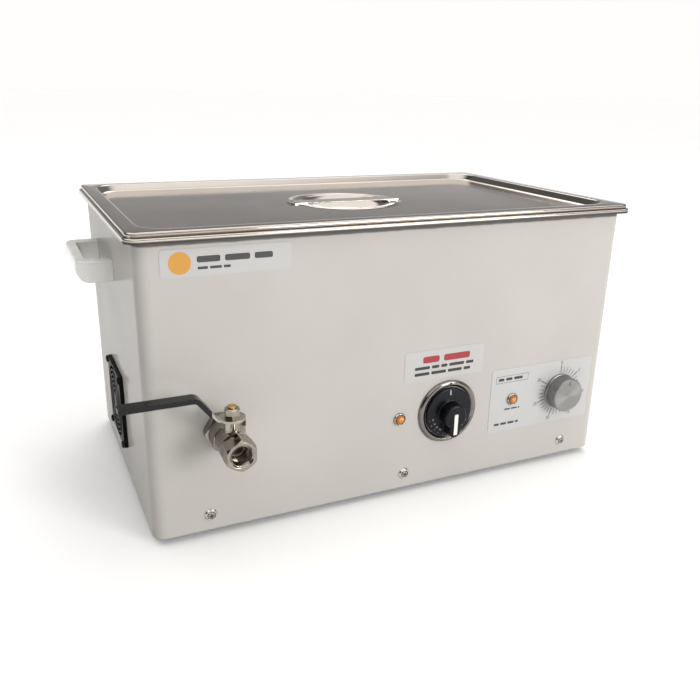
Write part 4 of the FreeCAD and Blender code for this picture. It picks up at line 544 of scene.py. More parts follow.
@dataclass(frozen=True)
class TurnedMetal(Finish):
    """Metal faced on a lathe: fine rings about the piece's own Y axis, with a spun sheen."""

    rough: float = 0.26
    ring: float = 0.22
    spun: float = 0.7

    def mix(self, recipe: Recipe) -> None:
        """Draw the rings into a recipe.

        Args:
            recipe: Node tree to draw into.
        """
        radius = recipe.from_axis()
        rings = recipe.add("ShaderNodeTexNoise", noise_dimensions="2D")
        place = recipe.add("ShaderNodeCombineXYZ")
        recipe.feed(place.inputs[0], recipe.maths("MULTIPLY", radius, 1.0 / (self.ring * MM)))
        recipe.feed(place.inputs[1], recipe.maths("MULTIPLY", recipe.axes()["Y"], 1.0 / (self.ring * 1.6 * MM)))
        recipe.feed(rings.inputs["Vector"], place.outputs[0])
        rings.inputs["Scale"].default_value = 1.0
        rings.inputs["Detail"].default_value = 4.0
        fac = rings.outputs["Fac"]
        body = recipe.grade(fac, self.colour, 0.88, 1.08)
        body = recipe.rub(body, 0.3, 0.6, shade(self.colour, 1.3))
        rough = recipe.spread(fac, 0.3, 0.7, self.rough * 0.8, self.rough * 1.25)
        recipe.put(base_color=body, metallic=1.0, roughness=rough, normal=recipe.relief(fac, 0.006, 0.15))
        recipe.put(anisotropic=self.spun)
        turn = recipe.add("ShaderNodeTangent", direction_type="RADIAL", axis="Y")
        recipe.feed(recipe.shader.inputs["Tangent"], turn.outputs["Tangent"])


@dataclass(frozen=True)
class MouldedPlastic(Finish):
    """Injection-moulded plastic with a fine tool texture, flow clouds and polished edges."""

    rough: float = 0.35
    grain: float = 0.35
    depth: float = 0.008
    coat: float = 0.0
    edge: float = 0.4
    sheen: float = 0.5

    def mix(self, recipe: Recipe) -> None:
        """Draw the plastic into a recipe.

        Args:
            recipe: Node tree to draw into.
        """
        clouds = recipe.noise(22.0, detail=3.0, twist=0.8)
        grain = recipe.noise(self.grain, detail=2.0)
        body = recipe.grade(clouds, self.colour, 0.93, 1.05)
        dust = recipe.spread(recipe.noise(0.9, detail=6.0), 0.66, 0.74, 0.0, 0.05)
        body = recipe.blend(dust, body, dusted(self.colour, 0.6, 0.12))
        worn = recipe.worn_edges(self.edge)
        body = recipe.blend(recipe.maths("MULTIPLY", worn, 0.45), body, dusted(self.colour, 0.9, 0.03))
        rough = recipe.maths("SUBTRACT", recipe.spread(clouds, 0.3, 0.7, self.rough * 0.88, self.rough * 1.15),
                             recipe.maths("MULTIPLY", worn, 0.08))
        recipe.put(base_color=body, roughness=rough, normal=recipe.relief(grain, self.depth, self.edge))
        recipe.put(specular_ior_level=self.sheen, coat_weight=self.coat, coat_roughness=0.08)


@dataclass(frozen=True)
class SoftRubber(Finish):
    """Rubber or foam: matt, speckled with dust, with a pebbled skin."""

    rough: float = 0.75
    pebble: float = 0.8
    depth: float = 0.05

    def mix(self, recipe: Recipe) -> None:
        """Draw the rubber into a recipe.

        Args:
            recipe: Node tree to draw into.
        """
        pebbles = recipe.cells(self.pebble)
        clouds = recipe.noise(12.0, detail=4.0)
        body = recipe.blend(recipe.spread(clouds, 0.35, 0.7, 0.0, 0.7), self.colour, dusted(self.colour, 0.8, 0.02))
        body = recipe.blend(recipe.spread(recipe.noise(0.8, detail=5.0), 0.6, 0.7, 0.0, 0.15), body, (0.24, 0.23, 0.21))
        body = recipe.rub(body, 0.5, 0.4, dusted(self.colour, 1.0, 0.07))
        rough = recipe.spread(clouds, 0.3, 0.7, self.rough * 0.9, min(1.0, self.rough * 1.15))
        recipe.put(base_color=body, roughness=rough, normal=recipe.relief(pebbles, self.depth, 0.4))
        recipe.put(specular_ior_level=0.35)


@dataclass(frozen=True)
class PrintedFilm(Finish):
    """Self-adhesive film: smooth, faintly mottled, with a lifted gloss."""

    rough: float = 0.3

    def mix(self, recipe: Recipe) -> None:
        """Draw the film into a recipe.

        Args:
            recipe: Node tree to draw into.
        """
        clouds = recipe.noise(18.0, detail=3.0)
        weave = recipe.noise(0.5, detail=2.0)
        body = recipe.grade(clouds, self.colour, 0.985, 1.01)
        body = recipe.rub(body, 0.1, 0.2, shade(self.colour, 0.75))
        rough = recipe.spread(clouds, 0.3, 0.7, self.rough * 0.95, self.rough * 1.08)
        recipe.put(base_color=body, roughness=rough, normal=recipe.relief(weave, 0.002))
        recipe.put(coat_weight=0.2, coat_roughness=0.12)


@dataclass(frozen=True)
class Ink(Finish):
    """Screen-printed ink with a little pinholing."""

    def mix(self, recipe: Recipe) -> None:
        """Draw the ink into a recipe.

        Args:
            recipe: Node tree to draw into.
        """
        grain = recipe.noise(0.3, detail=3.0)
        body = recipe.blend(recipe.spread(grain, 0.35, 0.7, 0.0, 0.35), self.colour, dusted(self.colour, 0.8, 0.08))
        rough = recipe.spread(grain, 0.3, 0.7, 0.38, 0.55)
        recipe.put(base_color=body, roughness=rough, normal=recipe.relief(grain, 0.004))


@dataclass(frozen=True)
class AmberLens(Finish):
    """Translucent amber plastic with moulded prisms; a paler heart and a darker rim are painted into its colour as
    light through the dome.
    """

    def mix(self, recipe: Recipe) -> None:
        """Draw the lens into a recipe.

        Args:
            recipe: Node tree to draw into.
        """
        radius = recipe.from_axis()
        # Painted light: the heart is paled and the rim darkened in the colour itself, standing in for light through the
        # dome.
        rim = recipe.spread(radius, 1.2 * MM, 5.0 * MM, 0.0, 1.0)
        prisms = recipe.noise(0.9, detail=2.0)
        body = recipe.blend(rim, shade(self.colour, 1.25), shade(self.colour, 0.5))
        body = recipe.blend(recipe.spread(prisms, 0.35, 0.7, 0.0, 0.3), body, shade(self.colour, 0.5))
        rough = recipe.spread(prisms, 0.3, 0.7, 0.10, 0.2)
        recipe.put(base_color=body, roughness=rough, normal=recipe.relief(prisms, 0.05))
        recipe.put(transmission_weight=0.25, coat_weight=0.6, coat_roughness=0.04)
        recipe.put(emission_color=self.colour, emission_strength=0.04)


@dataclass(frozen=True)
class Spangle(Finish):
    """Hot-dipped zinc sheet with its frosted crystals."""

    rough: float = 0.38

    def mix(self, recipe: Recipe) -> None:
        """Draw the crystals into a recipe.

        Args:
            recipe: Node tree to draw into.
        """
        crystals = recipe.cells(9.0, "Color")
        split = recipe.add("ShaderNodeSeparateColor")
        recipe.feed(split.inputs[0], crystals)
        frost = recipe.maths("MULTIPLY", recipe.noise(1.2, detail=5.0), 0.35)
        fac = recipe.maths("ADD", recipe.maths("MULTIPLY", split.outputs[0], 0.65), frost)
        body = recipe.blend(fac, shade(self.colour, 0.75), shade(self.colour, 1.2))
        body = recipe.rub(body, 0.4, 0.5, shade(self.colour, 1.35))
        rough = recipe.spread(split.outputs[1], 0.0, 1.0, self.rough * 0.75, self.rough * 1.3)
        recipe.put(base_color=body, metallic=0.9, roughness=rough, normal=recipe.relief(fac, 0.01, 0.4))


@dataclass(frozen=True)
class CircuitBoard(Finish):
    """Solder-masked board with tracks under the mask."""

    def mix(self, recipe: Recipe) -> None:
        """Draw the mask and the tracks into a recipe.

        Args:
            recipe: Node tree to draw into.
        """
        tracks = recipe.add("ShaderNodeTexBrick", offset=0.5)
        recipe.feed(tracks.inputs["Vector"], recipe.sized(9.0))
        for name, value in (("Scale", 1.0), ("Mortar Size", 0.05), ("Brick Width", 1.3), ("Row Height", 0.33)):
            tracks.inputs[name].default_value = value
        body = recipe.blend(tracks.outputs["Fac"], self.colour, shade(self.colour, 1.9))
        body = recipe.blend(recipe.spread(recipe.noise(14.0), 0.4, 0.7, 0.0, 0.3), body, shade(self.colour, 0.7))
        body = recipe.rub(body, 0.3, 0.6, (0.45, 0.40, 0.24))
        recipe.put(base_color=body, roughness=recipe.spread(tracks.outputs["Fac"], 0.0, 1.0, 0.32, 0.24))
        recipe.put(normal=recipe.relief(tracks.outputs["Fac"], 0.03, 0.2), coat_weight=0.3)


@dataclass(frozen=True)
class WovenMat(Finish):
    """Silicone mat moulded on cloth, as used for surface heaters."""

    def mix(self, recipe: Recipe) -> None:
        """Draw the cloth print into a recipe.

        Args:
            recipe: Node tree to draw into.
        """
        wave_x = recipe.add("ShaderNodeTexWave", bands_direction="X")
        wave_z = recipe.add("ShaderNodeTexWave", bands_direction="Z")
        for wave in (wave_x, wave_z):
            recipe.feed(wave.inputs["Vector"], recipe.sized(7.0))
            wave.inputs["Scale"].default_value = 1.0
        weave = recipe.maths("MULTIPLY", wave_x.outputs["Fac"], wave_z.outputs["Fac"])
        body = recipe.grade(weave, self.colour, 0.75, 1.15, 0.2, 0.8)
        body = recipe.rub(body, 0.4, 0.4, shade(self.colour, 1.4))
        rough = recipe.spread(weave, 0.0, 1.0, 0.65, 0.5)
        recipe.put(base_color=body, roughness=rough, normal=recipe.relief(weave, 0.08, 0.3))


CASE_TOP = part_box("case_shell")[1].z / MM
SKIRT_FOLD = 3.0
# The case paint carries a painted shadow band just below the case top, under the tank rim.
CASE_PAINT = PowderCoat("case_powder_coat", tone(172, 169, 165), grime=(CASE_TOP - 4.6, CASE_TOP - 3.2))
LID_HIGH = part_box("lid")[1] / MM
RIM_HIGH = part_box("tank")[1] / MM
LID_STEEL = RolledSteel("lid_rolled_steel", tone(190, 183, 176), lay=Lay.ALONG_X, rough=0.12, streak=0.035)
# The lid lip carries a painted shade band on the lower part of its outer edge.
LIP_STEEL = RolledSteel("lid_lip_steel", tone(176, 168, 160), lay=Lay.ALONG_X, rough=0.1, streak=0.08,
                        soot=(LID_HIGH.z - 4.2, LID_HIGH.z - 2.0), soot_tone=tone(84, 74, 66),
                        soot_outside=(LID_HIGH.x - SKIRT_FOLD, LID_HIGH.y - SKIRT_FOLD))
STRAP_STEEL = RolledSteel("strap_steel", tone(200, 195, 189), lay=Lay.ALONG_X, rough=0.24, streak=0.06, edge=0.3)
TANK_STEEL = RolledSteel("tank_drawn_steel", tone(190, 184, 177), lay=Lay.ALONG_Z, rough=0.12, streak=0.04)
# The tank rim carries a near-black painted shadow band on the lower part of its outer edge.
RIM_STEEL = RolledSteel("tank_rim_steel", tone(190, 184, 177), lay=Lay.ALONG_X, rough=0.1, streak=0.06,
                        soot=(RIM_HIGH.z - 2.9, RIM_HIGH.z - 1.9), soot_tone=tone(26, 23, 21),
                        soot_outside=(RIM_HIGH.x - SKIRT_FOLD, RIM_HIGH.y - SKIRT_FOLD))
CLIP_STEEL = RolledSteel("clip_steel", tone(190, 186, 180), lay=Lay.ALONG_Y, rough=0.3, edge=0.2)
LEVER_STEEL = RolledSteel("lever_zinc_steel", tone(168, 163, 152), lay=Lay.ALONG_X, rough=0.28, edge=0.35)
BACK_STEEL = PlatedMetal("back_mass_steel", tone(150, 148, 146), rough=0.35)
NICKEL = PlatedMetal("valve_nickel", tone(150, 143, 133), rough=0.1, rubbed=tone(206, 199, 186))
WELD_TINT = PlatedMetal("weld_heat_tint", tone(84, 72, 62), rough=0.36, rubbed=tone(140, 128, 116), depth=0.01)
BRASS = PlatedMetal("bare_brass", tone(205, 164, 96), rough=0.25, rubbed=tone(236, 204, 140))
ZINC = PlatedMetal("bright_zinc", tone(150, 147, 142), rough=0.14, rubbed=tone(214, 211, 206), edge=0.25)
CUP_PLATING = PlatedMetal("cup_washer_plating", tone(206, 202, 196), rough=0.24, depth=0.003, edge=0.3)
BLACK_STEEL = MouldedPlastic("black_oxide_steel", tone(16, 15, 15), rough=0.24, edge=0.25, sheen=0.3)
BEZEL_CHROME = PlatedMetal("bezel_satin_chrome", tone(124, 119, 114), rough=0.17, grain=0.9, depth=0.003, edge=0.5)
LAMP_CHROME = PlatedMetal("lamp_chrome", tone(178, 175, 170), rough=0.08, depth=0.002, edge=0.2)
COPPER = PlatedMetal("bulb_copper", tone(196, 124, 88), rough=0.3, rubbed=tone(236, 170, 130))
HORN_ALUMINIUM = PlatedMetal("horn_aluminium", tone(190, 191, 193), rough=0.32)
SINK_ALUMINIUM = PlatedMetal("sink_aluminium", tone(172, 174, 178), rough=0.4)
KNOB_ALUMINIUM = TurnedMetal("timer_turned_aluminium", tone(138, 137, 136), rough=0.3)
GALVANISED = Spangle("galvanised_sheet", tone(178, 181, 184))
FOOT_RUBBER = SoftRubber("foot_rubber", tone(30, 29, 28))
GASKET = SoftRubber("gasket_foam", tone(44, 42, 40), rough=0.85, pebble=0.5)
HANDLE_PLASTIC = MouldedPlastic("handle_white_plastic", tone(226, 226, 223), rough=0.2, grain=1.2, depth=0.003,
                                coat=0.3, edge=1.2)
GUARD_PLASTIC = MouldedPlastic("guard_black_plastic", tone(10, 10, 10), rough=0.42, edge=0.3, sheen=0.08)
FAN_PLASTIC = MouldedPlastic("fan_black_plastic", tone(34, 34, 35), rough=0.45)
KNOB_PLASTIC = MouldedPlastic("knob_black_plastic", tone(9, 11, 17), rough=0.26, depth=0.004, edge=0.5, sheen=0.2)
WHITE_INSERT = MouldedPlastic("pointer_white_plastic", tone(216, 213, 207), rough=0.4, edge=0.25)
SLEEVE_VINYL = MouldedPlastic("sleeve_black_vinyl", tone(11, 11, 12), rough=0.24, grain=0.9, depth=0.012,
                              edge=0.6, sheen=0.3)
PHENOLIC = MouldedPlastic("dark_phenolic", tone(44, 36, 32), rough=0.42)
LAMP_PLASTIC = MouldedPlastic("lamp_body_plastic", tone(60, 60, 62), rough=0.4)
SEAT_POLYMER = MouldedPlastic("seat_polymer", tone(232, 231, 226), rough=0.45)
NYLON = MouldedPlastic("standoff_nylon", tone(226, 222, 210), rough=0.4)
COMPONENTS = MouldedPlastic("component_plastic", tone(70, 78, 92), rough=0.35)
INLET_BLACK = MouldedPlastic("inlet_black_plastic", tone(26, 26, 27), rough=0.4)
CERAMIC = MouldedPlastic("piezo_ceramic", tone(196, 184, 158), rough=0.55, grain=0.2)
LABEL_FILM = PrintedFilm("label_film", tone(169, 168, 167))
PANEL_FILM = PrintedFilm("panel_film", tone(170, 170, 170))
GREY_INK = Ink("dark_grey_ink", tone(34, 34, 36))
BLACK_INK = Ink("black_ink", tone(12, 12, 14))
RED_INK = Ink("red_ink", tone(140, 8, 26))
AMBER_INK = Ink("amber_ink", tone(186, 132, 34))
SKIRT_INK = Ink("skirt_grey_ink", tone(150, 150, 154))
WHITE_INK = Ink("white_ink", tone(206, 204, 200))
AMBER = AmberLens("amber_lens", tone(204, 122, 6))
BOARD = CircuitBoard("board_green_mask", tone(22, 88, 48))
HEATER_MAT = WovenMat("heater_silicone", tone(176, 92, 44))


# ---- drawing ----


class Draft:
    """Vertices and faces of one piece while it is drawn, in millimetres."""

    def __init__(self) -> None:
        """Start with nothing drawn."""
        self.points: list[Vector] = []
        self.faces: list[tuple[int, ...]] = []

    def ring(self, points: Iterable[Vector]) -> list[int]:
        """Add points.

        Args:
            points: The points in order.

        Returns:
            Their numbers.
        """
        start = len(self.points)
        self.points.extend(points)
        return list(range(start, len(self.points)))

    def skin(self, rings: Sequence[list[int]]) -> None:
        """Join each ring to the next with quads; a ring of one point makes a fan.

        Args:
            rings: Rings of point numbers, all equally long or of one point.
        """
        for near, far in zip(rings, rings[1:]):
            count = max(len(near), len(far))
            for step in range(count):
                after = (step + 1) % count
                corners = [near[step % len(near)], near[after % len(near)], far[after % len(far)], far[step % len(far)]]
                face = tuple(dict.fromkeys(corners))
                if len(face) > 2:
                    self.faces.append(face)

    def cap(self, ring: list[int]) -> None:
        """Close one ring with a single face."""
        self.faces.append(tuple(ring))

    def plate(self, outline: Sequence[Vector], lift: Vector) -> None:
        """Add a closed plate.

        Args:
            outline: Corners of its lower face.
            lift: Step from the lower face to the upper one.
        """
        low = self.ring(outline)
        high = self.ring([point + lift for point in outline])
        self.skin([low, high])
        self.cap(low)
        self.cap(high)

    def finish(self, name: str, finish: Finish, body: Body, slot: str, origin: Vector = Vector(),
               sharp: float = 32.0) -> bpy.types.Object:
        """Turn the draft into a piece that rides on a body.

        Args:
            name: Name of the piece.
            finish: Its finish.
            body: Body that it rides on.
            slot: Material slot of the record; not used.
            origin: Its own origin.
            sharp: Angle in degrees above which an edge stays sharp.

        Returns:
            The new object.
        """
        mesh = bpy.data.meshes.new(name)
        mesh.from_pydata([(point - origin) * MM for point in self.points], [], self.faces)
        shell = bmesh.new()
        shell.from_mesh(mesh)
        bmesh.ops.remove_doubles(shell, verts=shell.verts, dist=1e-7)
        bmesh.ops.recalc_face_normals(shell, faces=shell.faces)
        shell.to_mesh(mesh)
        shell.free()
        mesh.shade_smooth()
        mesh.set_sharp_from_angle(angle=math.radians(sharp))
        mesh.materials.append(finish.material())
        piece = bpy.data.objects.new(name, mesh)
        piece.location = origin * MM
        bpy.context.scene.collection.objects.link(piece)
        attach(piece, body.value)
        LOG.info("%s: %d faces on %s", name, len(mesh.polygons), body.value)
        return piece


@dataclass
class FrontAxis:
    """Axis square to the front, with polar places round it as a user sees them."""

    x: float
    z: float
    front: float

    def at(self, radius: float, degrees: float, proud: float) -> Vector:
        """Return a point, its angle clockwise from the top as seen from the front.

        Args:
            radius: Distance from the axis.
            degrees: Angle clockwise from the top.
            proud: Distance in front of the case.

        Returns:
            The point.
        """
        turn = math.radians(degrees)
        return Vector((self.x + radius * math.sin(turn), self.front - proud, self.z + radius * math.cos(turn)))

    def origin(self) -> Vector:
        """Return the axis's point on the case."""
        return Vector((self.x, self.front, self.z))

    def turn(self, draft: Draft, profile: Sequence[Flat], steps: int = 128, closed: bool = False) -> None:
        """Turn a profile of radius and distance in front of the case.

        Args:
            draft: Draft to add to.
            profile: Radius and distance of each point.
            steps: Points on the circle.
            closed: Whether the last point joins the first.
        """
        rings = []
        for radius, proud in profile:
            count = steps if radius > 1e-6 else 1
            rings.append(draft.ring([self.at(radius, 360.0 * step / count, proud) for step in range(count)]))
        if closed:
            rings.append(rings[0])
        draft.skin(rings)


def arc(centre: Flat, radius: float, start: float, end: float, steps: int) -> list[Flat]:
    """Return points on an arc.

    Args:
        centre: Centre of the arc.
        radius: Its radius.
        start: First angle in degrees.
        end: Last angle in degrees.
        steps: Number of parts.

    Returns:
        The points, both ends included.
    """
    angles = [math.radians(start + (end - start) * step / steps) for step in range(steps + 1)]
    return [(centre[0] + radius * math.cos(a), centre[1] + radius * math.sin(a)) for a in angles]


def rounded_outline(half_x: float, half_y: float, corner: float, along: int = 44, across: int = 30,
                    bend: int = 12) -> list[Flat]:
    """Return an outline of a rectangle with round corners, always with as many points.

    Args:
        half_x: Half its length.
        half_y: Half its width.
        corner: Radius of its corners.
        along: Parts of each long side.
        across: Parts of each short side.
        bend: Parts of each corner.

    Returns:
        The points in order round the outline.
    """
    points: list[Flat] = []
    inner_x, inner_y = half_x - corner, half_y - corner
    sides = [((inner_x, inner_y), 0.0, along), ((-inner_x, inner_y), 90.0, across),
             ((-inner_x, -inner_y), 180.0, along), ((inner_x, -inner_y), 270.0, across)]
    for number, (centre, start, parts) in enumerate(sides):
        bend_points = arc(centre, corner, start, start + 90.0, bend)
        points.extend(bend_points)
        after = sides[(number + 1) % 4]
        target = arc(after[0], corner, after[1], after[1], 1)[0]
        last = bend_points[-1]
        for part in range(1, parts):
            share = part / parts
            points.append((last[0] + (target[0] - last[0]) * share, last[1] + (target[1] - last[1]) * share))
    return points


def inset(outline: Sequence[Flat], amount: float) -> list[Flat]:
    """Return an outline moved inwards along its own normals.

    Args:
        outline: Closed outline in order.
        amount: Distance to move it; outwards if below zero.

    Returns:
        The moved outline.
    """
    area = sum(a[0] * b[1] - b[0] * a[1] for a, b in zip(outline, list(outline[1:]) + [outline[0]]))
    side = 1.0 if area > 0 else -1.0
    moved = []
    count = len(outline)
    for number, point in enumerate(outline):
        before, after = Vector(outline[number - 1]), Vector(outline[(number + 1) % count])
        along = (after - before).normalized()
        moved.append((point[0] - side * along.y * amount, point[1] + side * along.x * amount))
    return moved


@dataclass(frozen=True)
class Row:
    """Line of bars that stands for words, placed from a corner of its label."""

    left: float
    right: float
    low: float
    high: float
    seed: int


@dataclass
class Print:
    """Print on a flat label on the front: bars for words, rings, ticks and numbers."""

    face: float
    thickness: float = 0.05
    lift: float = 0.02

    def spot(self, x: float, z: float) -> Vector:
        """Return a point on the label."""
        return Vector((x, self.face - self.lift, z))

    def plate(self, draft: Draft, outline: Iterable[Flat]) -> None:
        """Add a flat patch of ink with the given outline."""
        draft.plate([self.spot(x, z) for x, z in outline], Vector((0, -self.thickness, 0)))

    def bar(self, draft: Draft, left: float, right: float, low: float, high: float) -> None:
        """Add a bar with softly rounded ends.

        Args:
            draft: Draft to add to.
            left: Start of the bar.
            right: Its end.
            low: Its foot.
            high: Its top.
        """
        corner = min(right - left, high - low) * 0.3
        outline = rounded_outline((right - left) / 2, (high - low) / 2, corner, 1, 1, 4)
        middle = ((left + right) / 2, (low + high) / 2)
        self.plate(draft, [(x + middle[0], z + middle[1]) for x, z in outline])

    def words(self, draft: Draft, corner: Flat, row: Row) -> None:
        """Add a line of bars of unequal lengths.

        Args:
            draft: Draft to add to.
            corner: Corner of the label that the row is placed from.
            row: The row.
        """
        dice = random.Random(row.seed)
        low, high = corner[1] + row.low, corner[1] + row.high
        right = corner[0] + row.right
        tall = high - low
        place = corner[0] + row.left
        while place < right - tall:
            length = min(dice.uniform(2.2, 5.6) * tall, right - place)
            self.bar(draft, place, place + length, low, high)
            place += length + tall * 0.75

    def frame(self, draft: Draft, left: float, right: float, low: float, high: float, width: float) -> None:
        """Add a thin rectangular border.

        Args:
            draft: Draft to add to.
            left: Left side.
            right: Right side.
            low: Foot.
            high: Top.
            width: Width of its line.
        """
        for x_low, x_high, z_low, z_high in ((left, right, low, low + width), (left, right, high - width, high),
                                             (left, left + width, low + width, high - width),
                                             (right - width, right, low + width, high - width)):
            self.plate(draft, [(x_low, z_low), (x_high, z_low), (x_high, z_high), (x_low, z_high)])

    def tick(self, draft: Draft, axis: FrontAxis, degrees: float, near: float, far: float, width: float) -> None:
        """Add a radial tick between two radii.

        Args:
            draft: Draft to add to.
            axis: Axis that it points at.
            degrees: Its angle clockwise from the top.
            near: Radius of its inner end.
            far: Radius of its outer end.
            width: Its width.
        """
        turn = math.radians(degrees)
        out = Vector((math.sin(turn), math.cos(turn)))
        side = Vector((out.y, -out.x)) * width / 2
        inner, outer = Vector((axis.x, axis.z)) + out * near, Vector((axis.x, axis.z)) + out * far
        corners = [inner - side, inner + side, outer + side, outer - side]
        self.plate(draft, [(corner.x, corner.y) for corner in corners])


FIGURE_HALF = 0.01


def number_shape(text: str) -> tuple[list[Vector], list[tuple[int, ...]]]:
    """Return the flat shape of a number one unit tall, centred, in the XY plane.

    Args:
        text: The figures.

    Returns:
        Its points and faces.
    """
    curve = bpy.data.curves.new("figures", "FONT")
    curve.body = text
    curve.size = 1.38
    curve.align_x = "CENTER"
    curve.align_y = "CENTER"
    curve.resolution_u = 3
    curve.extrude = FIGURE_HALF
    holder = bpy.data.objects.new("figures", curve)
    bpy.context.scene.collection.objects.link(holder)
    bpy.context.view_layer.update()
    mesh = bpy.data.meshes.new_from_object(holder)
    shape = ([Vector(v.co) for v in mesh.vertices], [tuple(p.vertices) for p in mesh.polygons])
    bpy.data.objects.remove(holder)
    bpy.data.curves.remove(curve)
    bpy.data.meshes.remove(mesh)
    return shape


def add_number(draft: Draft, text: str, middle: Vector, tall: float, thickness: float = 0.05) -> None:
    """Add a number that faces the front.

    Args:
        draft: Draft to add to.
        text: The figures.
        middle: Centre of the number on the surface under it.
        tall: Height of a figure.
        thickness: How far it stands proud.
    """
    points, faces = number_shape(text)
    start = len(draft.points)
    for point in points:
        proud = (point.z + FIGURE_HALF) * thickness / (2 * FIGURE_HALF)
        draft.points.append(middle + Vector((point.x * tall, -proud, point.y * tall)))
    draft.faces.extend(tuple(number + start for number in face) for face in faces)


def dress(finish: Finish, *nodes: str) -> None:
    """Give CAD nodes a finish.

    Args:
        finish: The finish.
        *nodes: Names of the nodes.
    """
    for node in nodes:
        carried = frame["nodes"][node]
        if carried.material_slots:
            for holder in carried.material_slots:
                holder.material = finish.material()
        else:
            carried.data.materials.append(finish.material())
        LOG.info("%s: CAD shape, %s", node, finish.name)


def middle_of(node: str) -> Vector:
    """Return the centre of a node's box in millimetres."""
    low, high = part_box(node)
    return (low + high) / (2 * MM)


def low_of(node: str) -> Vector:
    """Return the lowest corner of a node's box in millimetres."""
    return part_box(node)[0] / MM


def high_of(node: str) -> Vector:
    """Return the highest corner of a node's box in millimetres."""
    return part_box(node)[1] / MM


# ---- sub-assemblies ----


@dataclass
class Housing:
    """Folded case, base tray, feet and the screws that hold them."""

    cup_radius: float = 6.2
    recess_arm: float = 1.7
    recess_width: float = 0.7
    recess_depth: float = 0.9
    recess_turn: Flat = (0.9, 0.42)

    def build(self) -> None:
        """Dress the case and put painted shade into the screws' cross slots."""
        dress(CASE_PAINT, "case_shell")
        dress(GALVANISED, "base_tray")
        dress(FOOT_RUBBER, "rubber_feet")
        dress(CUP_PLATING, "cup_washers")
        dress(ZINC, "short_screws", "small_nuts")
        self.recesses()

    def recesses(self) -> None:
        """Draw black blocks in the cross slots on the heads of the case screws, front and back, as painted shade."""
        low, high = low_of("cup_washers"), high_of("cup_washers")
        heads = [low.x + self.cup_radius, (low.x + high.x) / 2, high.x - self.cup_radius]
        along, across = self.recess_turn
        level = (low.z + high.z) / 2
        draft = Draft()
        for face, way in ((low_of("short_screws").y, -1.0), (high_of("short_screws").y, 1.0)):
            for x in heads:
                for wide, tall in ((self.recess_arm, self.recess_width / 2), (self.recess_width / 2, self.recess_arm)):
                    corners = [(-wide, -tall), (wide, -tall), (wide, tall), (-wide, tall)]
                    rise = self.recess_depth - (0.04 if wide > tall else 0.03)
                    foot = face - way * self.recess_depth
                    outline = [Vector((x + a * along + b * across, foot, level + b * along - a * across))
                               for a, b in corners]
                    draft.plate(outline, Vector((0, way * rise, 0)))
        # Painted shade: the black blocks stand for the shadow inside each slot.
        draft.finish("screw_cross_slots", BLACK_STEEL, Body.BASE, "bright_zinc")


